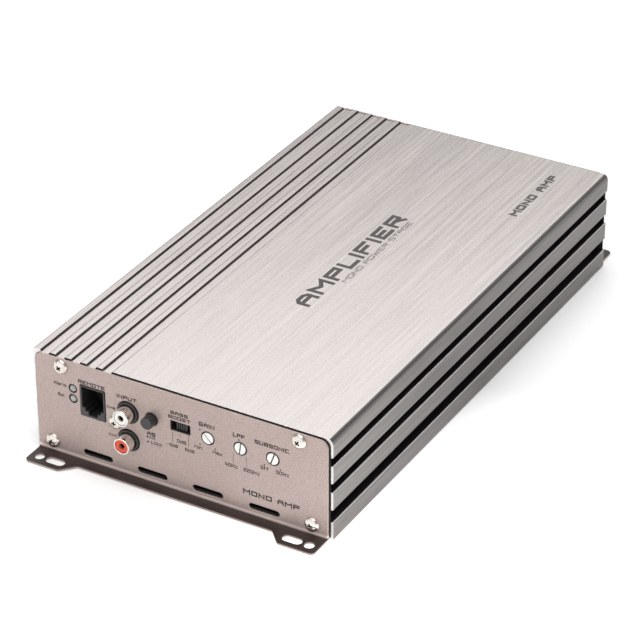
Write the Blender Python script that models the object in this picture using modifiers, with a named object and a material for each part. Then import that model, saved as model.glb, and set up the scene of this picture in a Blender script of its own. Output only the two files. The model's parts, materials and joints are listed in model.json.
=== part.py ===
"""Car amplifier: an extruded aluminium heatsink housing closed by two sheet-metal end plates.

Metres, +Z up. The origin is at the middle of the footprint, on the surface that the mounting
flanges stand on. The control panel faces -Y and the terminals face +Y.
"""

import math

import bmesh
import bpy

# Housing extrusion
HOUSING_HALF_WIDTH = 0.080
HOUSING_TOP = 0.054
HOUSING_FOOT = 0.0004
HOUSING_HALF_LENGTH = 0.1432
WALL_INSIDE = 0.072
ROOF_UNDERSIDE = 0.050
CORNER_RADIUS = 0.0009
FIN_CHAMFER = 0.0004
FIN_GROOVE_DEPTH = 0.005
FIN_GROOVES = ((0.0100, 0.0165), (0.0260, 0.0307), (0.0400, 0.0444))
RIB_COUNT = 5
RIB_PITCH = 0.00862
FIRST_RIB_FOOT = -0.0767
RIB_VALLEY_WIDTH = 0.0048
RIB_HEIGHT = 0.0011
RIB_LEFT_SLOPE = 0.0012
RIB_RIGHT_SLOPE = 0.0007

# End plates
SHEET = 0.0012
PLATE_HALF_WIDTH = 0.0783
PLATE_TOP = 0.0533
PLATE_CORNER = 0.004
PLATE_OUTER = 0.1448
FLANGE_EDGE = 0.1509
TAB_EDGE = 0.1580
TAB_INNER = 0.0593
FLANGE_CHAMFER_START = 0.0527
TAB_CORNER = 0.0025
FLANGE_HALF_WIDTH = 0.0780
BEND_LAP = 0.0003
TAB_HOLE = (0.0730, 0.1524)
TAB_SLOT = (0.0641, 0.1524)
TAB_HOLE_RADIUS = 0.0024
TAB_SLOT_HALF_LENGTH = 0.005
VENT_CENTRES = (-0.045, -0.015, 0.015, 0.045)
VENT_HEIGHT = 0.0059
VENT_HALF_SIZE = (0.0081, 0.0016)

# Fasteners
PLATE_SCREWS = ((-0.0636, 0.0492), (0.0636, 0.0492), (-0.0700, 0.0068), (0.0700, 0.0068))
PLATE_SCREW_SHANK = 0.0019
PLATE_SCREW_HEAD = (0.0038, 0.0022)
PLATE_SCREW_LENGTH = 0.008
COVER_SCREWS = ((-0.0696, -0.110), (0.0696, -0.110), (-0.0696, 0.110), (0.0696, 0.110))
COVER_SCREW_SHANK = 0.00115
COVER_SCREW_HEAD = (0.0024, 0.0013)
COVER_SCREW_LENGTH = 0.0055
RCA_SCREW_SHANK = 0.0014
RCA_SCREW_HEAD = (0.0035, 0.0018)
RCA_SCREW_LENGTH = 0.007
BOSS_RADII = (0.0033, 0.0026)
CLEARANCE = 0.0003

# Inside
COVER = (0.0026, 0.0039)
BOARD = (0.0097, 0.0113)
CONTROL_BOARD_FRONT = -0.1303
CONTROL_BACK = CONTROL_BOARD_FRONT - CLEARANCE
PLATE_INNER = PLATE_OUTER - SHEET

# Controls on the front plate, as (x, z)
LEDS = {"alarm_led": (-0.0575, 0.03915), "run_led": (-0.0575, 0.03365)}
LED_RADIUS = 0.0020
SOCKET_X = -0.0466
SOCKET_HALF_WIDTH = 0.0067
SOCKET_HEIGHTS = (0.0264, 0.0426)
# Half width and floor height of each step of the socket's mouth
SOCKET_STEPS = ((0.0054, 0.03105), (0.00385, 0.0293), (0.00225, 0.0273))
SOCKET_MOUTH_TOP = 0.0415
SOCKET_DEPTH = 0.012
RCA_X = -0.0273
RCA_HEIGHTS = {"upper": 0.0356, "lower": 0.0205}
RCA_BASE_RADIUS = 0.0055
RCA_SHELL = (0.0042, 0.0036)
RCA_PIN_HOLE = 0.0016
RCA_REACH = 0.0066
RCA_SCREW = (-0.0344, 0.0280)
AS_BUTTON = (-0.0145, 0.0360)
AS_BUTTON_RADIUS = 0.00305
AS_TRAVEL = 0.002
BASS_WINDOW = (-0.0044, 0.0063, 0.0335, 0.03885)
BASS_SLIDER_HALF_WIDTH = 0.0029
POTS = {"gain": (0.0157, -43.5), "lpf": (0.0328, 7.8), "subsonic": (0.0498, 20.1)}
POT_HEIGHT = 0.0353
POT_SHAFT_RADIUS = 0.0030
POT_HOLE_RADIUS = 0.0035

# Connections on the rear plate: each pole has its x and the width of its wire entry
TERMINAL_BACK = 0.1570
TERMINAL_FRONT = 0.1310
TERMINAL_HEIGHTS = (0.0116, 0.0316)
ENTRY_HEIGHT = 0.0184
ENTRY_DEPTH = 0.016
CLAMP_SCREW_Y = 0.1512
TERMINALS = {
    "power": {
        "span": (0.0205, 0.0655),
        "poles": ((0.0285, 0.009), (0.0430, 0.0066), (0.0575, 0.009)),
    },
    "speaker": {
        "span": (-0.0625, -0.0295),
        "poles": ((-0.0380, 0.008), (-0.0540, 0.008)),
    },
}
CLAMP_SCREW_RADIUS = 0.0023
FUSE_HOLDER = (-0.0150, 0.0150, 0.0116, 0.0356)
FUSE_HOLDER_ENDS = (0.1340, 0.1515)
FUSE_CENTRES = (-0.0094, 0.0, 0.0094)
FUSE_SIZE = (0.0050, 0.0097, 0.0190)
FUSE_BACK = 0.1570
FUSE_BLADE = (0.0008, 0.0070, 0.0052)
FUSE_BLADE_OFFSET = 0.0068

# A flat outline is filled in millimetres, because the fill merges points under 0.03 units apart.
FILL_SCALE = 1000

FACE_FRONT = (math.pi / 2, 0, 0)
FACE_REAR = (-math.pi / 2, 0, 0)
FACE_UP = (0, 0, 0)
FACE_DOWN = (math.pi, 0, 0)

COLOURS = {
    "housing": ((0.72, 0.70, 0.69), 0.32, 1.0),
    "plate": ((0.40, 0.33, 0.29), 0.45, 0.5),
    "cover": ((0.05, 0.05, 0.05), 0.5, 0.3),
    "steel": ((0.75, 0.72, 0.66), 0.25, 1.0),
    "black_plastic": ((0.03, 0.03, 0.035), 0.5, 0.0),
    "nickel": ((0.80, 0.79, 0.77), 0.2, 1.0),
    "white_plastic": ((0.85, 0.84, 0.80), 0.35, 0.0),
    "red_plastic": ((0.65, 0.05, 0.04), 0.35, 0.0),
    "button": ((0.06, 0.055, 0.06), 0.45, 0.0),
    "lens": ((0.55, 0.55, 0.53), 0.2, 0.0),
    "board": ((0.02, 0.16, 0.07), 0.45, 0.0),
    "fuse": ((0.80, 0.30, 0.05), 0.25, 0.0),
    "winding": ((0.50, 0.20, 0.07), 0.35, 0.6),
    "capacitor": ((0.04, 0.05, 0.12), 0.4, 0.0),
    "semiconductor": ((0.04, 0.04, 0.04), 0.6, 0.0),
}


def clear_scene():
    for obj in list(bpy.data.objects):
        bpy.data.objects.remove(obj, do_unlink=True)


def new_collection(name):
    collection = bpy.data.collections.new(name)
    bpy.context.scene.collection.children.link(collection)
    return collection


def make_material(name):
    colour, roughness, metallic = COLOURS[name]
    material = bpy.data.materials.new(name)
    material.use_nodes = True
    shader = material.node_tree.nodes["Principled BSDF"]
    shader.inputs["Base Color"].default_value = (*colour, 1)
    shader.inputs["Roughness"].default_value = roughness
    shader.inputs["Metallic"].default_value = metallic
    return material


clear_scene()
PARTS = new_collection("car_amplifier")
CUTTERS = new_collection("cutters")
MATERIALS = {name: make_material(name) for name in COLOURS}


# ---- Outlines: lists of (u, v) points ----


def arc(centre, radius, start, end, steps):
    """Points along an arc, in degrees, both ends included."""
    angles = [math.radians(start + (end - start) * i / steps) for i in range(steps + 1)]
    return [(centre[0] + radius * math.cos(a), centre[1] + radius * math.sin(a)) for a in angles]


def circle(centre, radius, steps=16):
    return arc(centre, radius, 0, 360 - 360 / steps, steps - 1)


def rectangle(u0, u1, v0, v1, radius=0.0, steps=3):
    """A rectangle, with round corners when radius is given."""
    if not radius:
        return [(u0, v0), (u1, v0), (u1, v1), (u0, v1)]
    corners = ((u1, v0, -1, 1, 270), (u1, v1, -1, -1, 0), (u0, v1, 1, -1, 90), (u0, v0, 1, 1, 180))
    points = []
    for u, v, du, dv, start in corners:
        points += arc((u + du * radius, v + dv * radius), radius, start, start + 90, steps)
    return points


def slot(centre, half_length, radius, steps=6):
    """A slot with round ends, along u."""
    straight = half_length - radius
    right = arc((centre[0] + straight, centre[1]), radius, -90, 90, steps)
    left = arc((centre[0] - straight, centre[1]), radius, 90, 270, steps)
    return right + left


def mirrored(points):
    """The same outline on the other side of u = 0, run backwards."""
    return [(-u, v) for u, v in reversed(points)]


# ---- Solids ----


def add_object(name, mesh, material, location=(0, 0, 0), rotation=(0, 0, 0)):
    obj = bpy.data.objects.new(name, mesh)
    obj.location = location
    obj.rotation_euler = rotation
    if material:
        mesh.materials.append(MATERIALS[material])
        PARTS.objects.link(obj)
    else:
        CUTTERS.objects.link(obj)
        obj.hide_render = True
        obj.display_type = "WIRE"
    return obj


def plate(name, material, outlines, thickness, location=(0, 0, 0), rotation=FACE_UP):
    """A flat solid centred on its outline's plane. Each outline after the first is a hole."""
    curve = bpy.data.curves.new(name, "CURVE")
    curve.dimensions = "2D"
    curve.fill_mode = "BOTH"
    curve_depth = thickness / 2 * FILL_SCALE
    curve.extrude = curve_depth
    for outline in outlines:
        spline = curve.splines.new("POLY")
        spline.points.add(len(outline) - 1)
        spline.use_cyclic_u = True
        for point, (u, v) in zip(spline.points, outline):
            point.co = (u * FILL_SCALE, v * FILL_SCALE, 0, 1)
    guide = bpy.data.objects.new(name + "_guide", curve)
    bpy.context.scene.collection.objects.link(guide)
    graph = bpy.context.evaluated_depsgraph_get()
    mesh = bpy.data.meshes.new_from_object(guide.evaluated_get(graph))
    bpy.data.objects.remove(guide, do_unlink=True)
    shape = bmesh.new()
    shape.from_mesh(mesh)
    bmesh.ops.remove_doubles(shape, verts=shape.verts, dist=1e-3)
    half = curve_depth - 1e-3
    caps = [face for face in shape.faces if all(abs(v.co.z) > half for v in face.verts)]
    caps = [face for face in caps if len({v.co.z > 0 for v in face.verts}) == 1]
    inner = [edge for edge in shape.edges if all(face in caps for face in edge.link_faces)]
    bmesh.ops.beautify_fill(shape, faces=caps, edges=inner)
    bmesh.ops.recalc_face_normals(shape, faces=shape.faces)
    bmesh.ops.scale(shape, vec=[1 / FILL_SCALE] * 3, verts=shape.verts)
    shape.to_mesh(mesh)
    shape.free()
    return add_object(name, mesh, material, location, rotation)


def box(name, material, low, high):
    """A box between two corners, with its origin at its centre."""
    shape = bmesh.new()
    bmesh.ops.create_cube(shape, size=1)
    size = [b - a for a, b in zip(low, high)]
    bmesh.ops.scale(shape, vec=size, verts=shape.verts)
    mesh = bpy.data.meshes.new(name)
    shape.to_mesh(mesh)
    shape.free()
    centre = [(a + b) / 2 for a, b in zip(low, high)]
    return add_object(name, mesh, material, centre)


def cylinder(name, material, radius, length, location, rotation=FACE_UP, sides=16):
    """A cylinder that starts at its location and runs the way it faces."""
    shape = bmesh.new()
    bmesh.ops.create_cone(
        shape, cap_ends=True, segments=sides, radius1=radius, radius2=radius, depth=length
    )
    bmesh.ops.translate(shape, vec=(0, 0, length / 2), verts=shape.verts)
    mesh = bpy.data.meshes.new(name)
    shape.to_mesh(mesh)
    shape.free()
    mesh.shade_smooth()
    mesh.set_sharp_from_angle(angle=math.radians(35))
    return add_object(name, mesh, material, location, rotation)


def turned(name, material, profile, location, rotation=FACE_UP, steps=16):
    """A turned solid. The profile holds (radius, height) points and runs top to bottom."""
    mesh = bpy.data.meshes.new(name)
    shape = bmesh.new()
    points = [shape.verts.new((radius, 0, height)) for radius, height in profile]
    for first, second in zip(points, points[1:]):
        shape.edges.new((first, second))
    if profile[0][0] > 0:
        shape.edges.new((points[-1], points[0]))
    shape.to_mesh(mesh)
    shape.free()
    obj = add_object(name, mesh, material, location, rotation)
    screw = obj.modifiers.new("turn", "SCREW")
    screw.steps = steps
    screw.render_steps = steps
    screw.use_merge_vertices = True
    screw.merge_threshold = 1e-6
    screw.use_smooth_shade = True
    return obj


def combine(obj, other, operation="DIFFERENCE"):
    modifier = obj.modifiers.new(other.name, "BOOLEAN")
    modifier.operation = operation
    modifier.solver = "EXACT"
    modifier.object = other
    return obj


def facing(rotation):
    """The direction that a piece with this rotation about X faces."""
    return (0, -math.sin(rotation[0]), math.cos(rotation[0]))


def button_head_screw(name, location, rotation, head, shank, length):
    """A domed screw whose origin is where the head's underside meets the shank."""
    head_radius, head_height = head
    profile = [
        (0, head_height),
        (head_radius * 0.50, head_height * 0.97),
        (head_radius * 0.83, head_height * 0.68),
        (head_radius, head_height * 0.18),
        (head_radius, 0),
        (shank, 0),
        (shank, -length + shank * 0.5),
        (shank * 0.6, -length),
        (0, -length),
    ]
    screw = turned(name, "steel", profile, location, rotation, 14)
    start = [at + head_height * 0.45 * way for at, way in zip(location, facing(rotation))]
    recess = cylinder(f"{name}_recess", None, head_radius * 0.36, head_height, start, rotation, 6)
    return combine(screw, recess)


# ---- Housing ----


def side_outline():
    """The right side of the extrusion's outer face, from its foot up to the roof."""
    edge = HOUSING_HALF_WIDTH
    floor = edge - FIN_GROOVE_DEPTH
    points = [(edge - FIN_CHAMFER, HOUSING_FOOT), (edge, HOUSING_FOOT + FIN_CHAMFER)]
    for low, high in FIN_GROOVES:
        points += [(edge, low - FIN_CHAMFER), (edge - FIN_CHAMFER, low), (floor, low)]
        points += [(floor, high), (edge - FIN_CHAMFER, high), (edge, high + FIN_CHAMFER)]
    corner = (edge - CORNER_RADIUS, HOUSING_TOP - CORNER_RADIUS)
    return points + arc(corner, CORNER_RADIUS, 0, 90, 3)


def roof_outline():
    """The top, from the plain plate on the right to the ribs on the left."""
    valley = HOUSING_TOP - RIB_HEIGHT
    points = []
    for rib in reversed(range(RIB_COUNT)):
        foot = FIRST_RIB_FOOT + rib * RIB_PITCH
        next_foot = foot + RIB_VALLEY_WIDTH
        points += [(next_foot + RIB_LEFT_SLOPE, HOUSING_TOP), (next_foot, valley)]
        points += [(foot, valley), (foot - RIB_RIGHT_SLOPE, HOUSING_TOP)]
    return points


def inner_outline():
    """The right half of the inside, from the middle of the roof down to the foot."""
    top_boss, foot_boss = PLATE_SCREWS[1], PLATE_SCREWS[3]
    top_radius, foot_radius = BOSS_RADII
    rise = math.degrees(math.asin((ROOF_UNDERSIDE - top_boss[1]) / top_radius))
    turn = math.degrees(math.acos((WALL_INSIDE - foot_boss[0]) / foot_radius))
    points = arc(top_boss, top_radius, 180 - rise, 360 + rise, 8)
    points.append((WALL_INSIDE, ROOF_UNDERSIDE))
    points += arc(foot_boss, foot_radius, turn, 360 - turn, 8)
    points.append((WALL_INSIDE, HOUSING_FOOT))
    return points


def make_housing():
    side = side_outline()
    outer = side + roof_outline() + mirrored(side)
    inner = inner_outline()
    outline = outer + mirrored(inner) + inner
    housing = plate(
        "heatsink_housing", "housing", [outline], 2 * HOUSING_HALF_LENGTH, rotation=FACE_FRONT
    )
    depth = 2 * PLATE_SCREW_LENGTH
    radius = PLATE_SCREW_SHANK + CLEARANCE
    for end, side, inward in (("front", -1, FACE_REAR), ("rear", 1, FACE_FRONT)):
        for index, (x, z) in enumerate(PLATE_SCREWS):
            start = (x, side * (HOUSING_HALF_LENGTH + depth / 2), z)
            hole = cylinder(f"housing_{end}_hole_{index}", None, radius, depth, start, inward, 12)
            combine(housing, hole)
    radius = COVER_SCREW_SHANK + CLEARANCE
    for index, (x, y) in enumerate(COVER_SCREWS):
        hole = cylinder(
            f"cover_boss_hole_{index}", None, radius, 0.0065, (x, y, 0.0022), sides=12
        )
        combine(housing, hole)
    return housing


# ---- End plates ----


def flange_outline():
    """The flange bent out at the foot of an end plate, with its two tabs, as (x, outward y)."""
    half = [
        (0, FLANGE_EDGE),
        (FLANGE_CHAMFER_START, FLANGE_EDGE),
        (TAB_INNER, TAB_EDGE),
    ]
    corner = (FLANGE_HALF_WIDTH - TAB_CORNER, TAB_EDGE - TAB_CORNER)
    half += arc(corner, TAB_CORNER, 90, 0, 4)
    half.append((FLANGE_HALF_WIDTH, PLATE_INNER + BEND_LAP))
    return half + mirrored(half)[:-1]


def make_end_plate(name, side, openings):
    """An end plate on the side -1 (front) or 1 (rear), with its flange."""
    width = PLATE_HALF_WIDTH
    outline = arc((width - PLATE_CORNER, PLATE_TOP - PLATE_CORNER), PLATE_CORNER, 0, 90, 5)
    outline = [(width, BEND_LAP), *outline]
    outline += mirrored(outline)
    holes = [circle(centre, PLATE_SCREW_SHANK + 2 * CLEARANCE) for centre in PLATE_SCREWS]
    half_width, half_height = VENT_HALF_SIZE
    holes += [slot((x, VENT_HEIGHT), half_width, half_height) for x in VENT_CENTRES]
    middle = side * (PLATE_OUTER + PLATE_INNER) / 2
    sheet = plate(name, "plate", [outline, *holes, *openings], SHEET, (0, middle, 0), FACE_FRONT)
    tab_holes = []
    for sign in (-1, 1):
        tab_holes.append(circle((sign * TAB_HOLE[0], TAB_HOLE[1]), TAB_HOLE_RADIUS))
        tab_holes.append(
            slot((sign * TAB_SLOT[0], TAB_SLOT[1]), TAB_SLOT_HALF_LENGTH, TAB_HOLE_RADIUS)
        )
    outlines = [[(u, side * v) for u, v in loop] for loop in (flange_outline(), *tab_holes)]
    flange = plate(name + "_flange", None, outlines, SHEET, (0, 0, SHEET / 2))
    return combine(sheet, flange, "UNION")


def front_openings():
    gap = CLEARANCE
    left, right = SOCKET_X - SOCKET_HALF_WIDTH, SOCKET_X + SOCKET_HALF_WIDTH
    low, high = SOCKET_HEIGHTS
    openings = [rectangle(left - gap, right + gap, low - gap, high + gap)]
    openings += [circle(centre, LED_RADIUS + gap, 12) for centre in LEDS.values()]
    openings += [circle((RCA_X, z), RCA_BASE_RADIUS + gap, 20) for z in RCA_HEIGHTS.values()]
    openings.append(circle(RCA_SCREW, RCA_SCREW_SHANK + 2 * gap, 12))
    openings.append(circle(AS_BUTTON, AS_BUTTON_RADIUS + gap))
    openings.append(rectangle(*BASS_WINDOW, 0.0005, 2))
    openings += [circle((x, POT_HEIGHT), POT_HOLE_RADIUS) for x, _ in POTS.values()]
    return openings


def rear_openings():
    gap = CLEARANCE
    faces = [(*block["span"], *TERMINAL_HEIGHTS) for block in TERMINALS.values()]
    faces.append(FUSE_HOLDER)
    return [rectangle(u0 - gap, u1 + gap, v0 - gap, v1 + gap) for u0, u1, v0, v1 in faces]


def make_plate_screws():
    for end, side, rotation in (("front", -1, FACE_FRONT), ("rear", 1, FACE_REAR)):
        y = side * (PLATE_OUTER + CLEARANCE)
        for index, (x, z) in enumerate(PLATE_SCREWS, 1):
            name = f"{end}_plate_screw_{index}"
            length = PLATE_SCREW_LENGTH
            button_head_screw(
                name, (x, y, z), rotation, PLATE_SCREW_HEAD, PLATE_SCREW_SHANK, length
            )


# ---- Bottom cover and boards ----


def make_bottom_cover():
    low, high = COVER
    half_width = WALL_INSIDE - CLEARANCE
    half_length = HOUSING_HALF_LENGTH - CLEARANCE
    outline = rectangle(-half_width, half_width, -half_length, half_length)
    holes = [circle(centre, COVER_SCREW_SHANK + CLEARANCE, 12) for centre in COVER_SCREWS]
    plate("bottom_cover", "cover", [outline, *holes], high - low, (0, 0, (low + high) / 2))
    for index, (x, y) in enumerate(COVER_SCREWS, 1):
        button_head_screw(
            f"bottom_cover_screw_{index}",
            (x, y, low - CLEARANCE),
            FACE_DOWN,
            COVER_SCREW_HEAD,
            COVER_SCREW_SHANK,
            COVER_SCREW_LENGTH,
        )


def make_boards():
    half_width = WALL_INSIDE - 2 * CLEARANCE
    low, high = BOARD
    box("main_circuit_board", "board", (-half_width, -0.1410, low), (half_width, 0.1410, high))
    front, back = CONTROL_BOARD_FRONT, CONTROL_BOARD_FRONT + high - low
    foot = high + CLEARANCE
    box("control_board", "board", (-0.0615, front, foot), (0.0580, back, 0.0445))


# ---- Controls ----


def make_leds():
    back = -PLATE_OUTER - CONTROL_BACK
    for name, (x, z) in LEDS.items():
        profile = [
            (0, 0.0008),
            (LED_RADIUS * 0.55, 0.0006),
            (LED_RADIUS * 0.88, 0.0001),
            (LED_RADIUS, -0.0006),
            (LED_RADIUS, -0.0018),
            (LED_RADIUS * 1.25, -0.0018),
            (LED_RADIUS * 1.25, back),
            (0, back),
        ]
        turned(name, "lens", profile, (x, -PLATE_OUTER, z), FACE_FRONT, 14)


def socket_mouth():
    """The stepped mouth of the remote socket, as (x, z)."""
    half = []
    top = SOCKET_MOUTH_TOP
    for half_width, floor in SOCKET_STEPS:
        half += [(half_width, top), (half_width, floor)]
        top = floor
    outline = half[::-1] + mirrored(half)[::-1]
    return [(SOCKET_X + u, v) for u, v in outline]


def make_remote_socket():
    left, right = SOCKET_X - SOCKET_HALF_WIDTH, SOCKET_X + SOCKET_HALF_WIDTH
    low, high = SOCKET_HEIGHTS
    front = -PLATE_OUTER - 0.0002
    body = box("remote_socket", "black_plastic", (left, front, low), (right, CONTROL_BACK, high))
    cutter = plate(
        "remote_socket_mouth",
        None,
        [socket_mouth()],
        2 * SOCKET_DEPTH,
        (0, front, 0),
        FACE_FRONT,
    )
    combine(body, cutter)


def make_rca_inputs():
    front = -PLATE_INNER + CLEARANCE
    face = -PLATE_OUTER - 0.0008
    back = CONTROL_BACK
    block = box("rca_block", "black_plastic", (-0.0335, front, 0.0140), (-0.0210, back, 0.0420))
    ear = box("rca_block_ear", None, (-0.0385, front, 0.0240), (-0.0330, back, 0.0320))
    combine(block, ear, "UNION")
    shell_outer, shell_inner = RCA_SHELL
    reach = -PLATE_OUTER - RCA_REACH
    depth = -0.1360
    for place, z in RCA_HEIGHTS.items():
        base_length = front - face + 0.001
        base = cylinder(
            f"rca_base_{place}",
            None,
            RCA_BASE_RADIUS,
            base_length,
            (RCA_X, front + 0.001, z),
            FACE_FRONT,
            20,
        )
        combine(block, base, "UNION")
    for place, z in RCA_HEIGHTS.items():
        length = depth - face + CLEARANCE
        start = (RCA_X, depth + CLEARANCE, z)
        radius = shell_outer + CLEARANCE
        bore = cylinder(f"rca_bore_{place}", None, radius, length + 0.002, start, FACE_FRONT, 20)
        combine(block, bore)
        length = depth - reach
        shell = [
            (shell_outer - 0.0003, length),
            (shell_outer, length - 0.0003),
            (shell_outer, 0),
            (shell_inner, 0),
            (shell_inner, length),
        ]
        turned(f"rca_shell_{place}", "nickel", shell, (RCA_X, depth, z), FACE_FRONT, 20)
        radius = shell_inner - CLEARANCE
        insulator = [
            (radius, length - 0.0004),
            (radius, 0),
            (RCA_PIN_HOLE, 0),
            (RCA_PIN_HOLE, length - 0.0004),
        ]
        material = {"upper": "white_plastic", "lower": "red_plastic"}[place]
        turned(f"rca_insulator_{place}", material, insulator, (RCA_X, depth, z), FACE_FRONT, 16)
    x, z = RCA_SCREW
    location = (x, -PLATE_OUTER - CLEARANCE, z)
    radius = RCA_SCREW_SHANK + CLEARANCE
    start = (x, location[1] + RCA_SCREW_LENGTH + CLEARANCE, z)
    hole_length = start[1] - front + 0.002
    combine(block, cylinder("rca_screw_hole", None, radius, hole_length, start, FACE_FRONT, 12))
    button_head_screw(
        "rca_block_screw", location, FACE_FRONT, RCA_SCREW_HEAD, RCA_SCREW_SHANK, RCA_SCREW_LENGTH
    )


def make_as_switch():
    x, z = AS_BUTTON
    body_front = -0.1396
    stem_radius = 0.0015
    stem_end = -0.1344
    cap_front = -PLATE_OUTER - 0.0048
    cap_back = body_front - AS_TRAVEL - 0.0004
    profile = [
        (0, stem_end - cap_front),
        (AS_BUTTON_RADIUS - 0.0004, stem_end - cap_front),
        (AS_BUTTON_RADIUS, stem_end - cap_front - 0.0004),
        (AS_BUTTON_RADIUS, stem_end - cap_back),
        (stem_radius, stem_end - cap_back),
        (stem_radius, 0),
        (0, 0),
    ]
    turned("as_button", "button", profile, (x, stem_end, z), FACE_FRONT, 20)
    half = 0.00425
    low = (x - half, body_front, z - half)
    high = (x + half, CONTROL_BACK, z + half)
    body = box("as_switch_body", "black_plastic", low, high)
    end = stem_end + AS_TRAVEL + 0.0004
    start = (x, end, z)
    radius = stem_radius + CLEARANCE
    bore = cylinder("as_switch_bore", None, radius, end - body_front + 0.002, start, FACE_FRONT, 12)
    combine(body, bore)


def make_bass_switch():
    left, right, low, high = BASS_WINDOW
    centre_x = (left + right) / 2
    front = -PLATE_INNER + CLEARANCE
    border = 0.0032
    body = box(
        "bass_switch_body",
        "black_plastic",
        (left - border, front, low - 0.0025),
        (right + border, CONTROL_BACK, high + 0.0025),
    )
    cavity_back = -0.1372
    cavity = box(
        "bass_switch_cavity",
        None,
        (left, front - 0.002, low),
        (right, cavity_back, high),
    )
    combine(body, cavity)
    half = BASS_SLIDER_HALF_WIDTH
    knob_front = -PLATE_OUTER + 0.0016
    slider = box(
        "bass_switch_slider",
        "button",
        (centre_x - half, knob_front, low + CLEARANCE),
        (centre_x + half, cavity_back - CLEARANCE, high - CLEARANCE),
    )
    groove_count = 4
    pitch = 2 * half / (groove_count + 1)
    for index in range(groove_count):
        x = centre_x - half + pitch * (index + 1)
        groove = box(
            f"bass_slider_groove_{index}",
            None,
            (x - 0.0003, knob_front - 0.001, low - 0.001),
            (x + 0.0003, knob_front + 0.0007, high + 0.001),
        )
        combine(slider, groove)


def make_pots():
    half = 0.0048
    body_front = -PLATE_INNER + CLEARANCE
    bore_end = -0.1355
    shaft_end = bore_end - CLEARANCE
    shaft_front = -PLATE_OUTER - 0.0002
    for name, (x, angle) in POTS.items():
        low = (x - half, body_front, POT_HEIGHT - half)
        high = (x + half, CONTROL_BACK, POT_HEIGHT + half)
        body = box(f"{name}_pot_body", "black_plastic", low, high)
        radius = POT_SHAFT_RADIUS + CLEARANCE
        start = (x, bore_end, POT_HEIGHT)
        length = bore_end - body_front + 0.002
        bore = cylinder(f"{name}_pot_bore", None, radius, length, start, FACE_FRONT, 20)
        combine(body, bore)
        length = shaft_end - shaft_front
        profile = [
            (0, length),
            (POT_SHAFT_RADIUS - 0.0003, length),
            (POT_SHAFT_RADIUS, length - 0.0003),
            (POT_SHAFT_RADIUS, 0),
            (0, 0),
        ]
        location = (x, shaft_end, POT_HEIGHT)
        shaft = turned(f"{name}_pot_shaft", "white_plastic", profile, location, FACE_FRONT, 20)
        groove = box(
            f"{name}_pot_slot",
            None,
            (-0.00045, -0.001, -0.004),
            (0.00045, 0.001, 0.004),
        )
        groove.location = (x, shaft_front, POT_HEIGHT)
        groove.rotation_euler = (0, math.radians(angle), 0)
        combine(shaft, groove)


# ---- Connections on the rear ----


def make_terminals():
    low, high = TERMINAL_HEIGHTS
    for block_name, block in TERMINALS.items():
        left, right = block["span"]
        body = box(
            f"{block_name}_terminal_block",
            "black_plastic",
            (left, TERMINAL_FRONT, low),
            (right, TERMINAL_BACK, high),
        )
        for index, (x, size) in enumerate(block["poles"], 1):
            entry = box(
                f"{block_name}_entry_{index}",
                None,
                (x - size / 2, TERMINAL_BACK - ENTRY_DEPTH, ENTRY_HEIGHT - size / 2),
                (x + size / 2, TERMINAL_BACK + 0.002, ENTRY_HEIGHT + size / 2),
            )
            combine(body, entry)
            radius = CLAMP_SCREW_RADIUS + CLEARANCE
            start = (x, CLAMP_SCREW_Y, ENTRY_HEIGHT)
            hole = cylinder(
                f"{block_name}_screw_hole_{index}", None, radius, 0.02, start, sides=14
            )
            combine(body, hole)
            screw_low = ENTRY_HEIGHT + size / 2 + 0.0004
            screw = cylinder(
                f"{block_name}_clamp_screw_{index}",
                "steel",
                CLAMP_SCREW_RADIUS,
                0.0052,
                (x, CLAMP_SCREW_Y, screw_low),
                sides=14,
            )
            socket = cylinder(
                f"{block_name}_clamp_socket_{index}",
                None,
                0.0012,
                0.006,
                (x, CLAMP_SCREW_Y, screw_low + 0.0028),
                sides=6,
            )
            combine(screw, socket)


def make_fuses():
    left, right, low, high = FUSE_HOLDER
    front, back = FUSE_HOLDER_ENDS
    holder = box("fuse_holder", "black_plastic", (left, front, low), (right, back, high))
    thick, deep, tall = FUSE_SIZE
    blade_thick, blade_long, blade_wide = FUSE_BLADE
    centre_z = (low + high) / 2
    body_front = FUSE_BACK - deep
    gap = CLEARANCE
    for index, x in enumerate(FUSE_CENTRES, 1):
        half_thick, half_tall = thick / 2, tall / 2
        pocket = box(
            f"fuse_pocket_{index}",
            None,
            (x - half_thick - gap, body_front - gap, centre_z - half_tall - gap),
            (x + half_thick + gap, back + 0.002, centre_z + half_tall + gap),
        )
        combine(holder, pocket)
        fuse = box(
            f"fuse_{index}",
            "fuse",
            (x - half_thick, body_front, centre_z - half_tall),
            (x + half_thick, FUSE_BACK, centre_z + half_tall),
        )
        for place, sign in (("low", -1), ("high", 1)):
            z = centre_z + sign * FUSE_BLADE_OFFSET
            half_blade, half_wide = blade_thick / 2, blade_wide / 2
            end = body_front - blade_long
            blade = box(
                f"fuse_blade_{index}_{place}",
                None,
                (x - half_blade, end, z - half_wide),
                (x + half_blade, body_front + 0.001, z + half_wide),
            )
            combine(fuse, blade, "UNION")
            blade_slot = box(
                f"fuse_slot_{index}_{place}",
                None,
                (x - half_blade - gap, end - gap, z - half_wide - gap),
                (x + half_blade + gap, body_front + 0.001, z + half_wide + gap),
            )
            combine(holder, blade_slot)


# ---- Power electronics ----


def toroid(name, centre, outer, inner, height):
    """A wound ring core standing on the board."""
    edge = min(0.004, (outer - inner) / 3)
    profile = [(outer - edge, height), (outer - edge * 0.3, height - edge * 0.3)]
    profile += [(outer, height - edge), (outer, edge), (outer - edge * 0.3, edge * 0.3)]
    profile += [(outer - edge, 0), (inner + edge * 0.5, 0), (inner, edge * 0.5)]
    profile += [(inner, height - edge * 0.5), (inner + edge * 0.5, height)]
    location = (*centre, BOARD[1] + CLEARANCE)
    turned(name, "winding", profile, location, steps=28)


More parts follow.
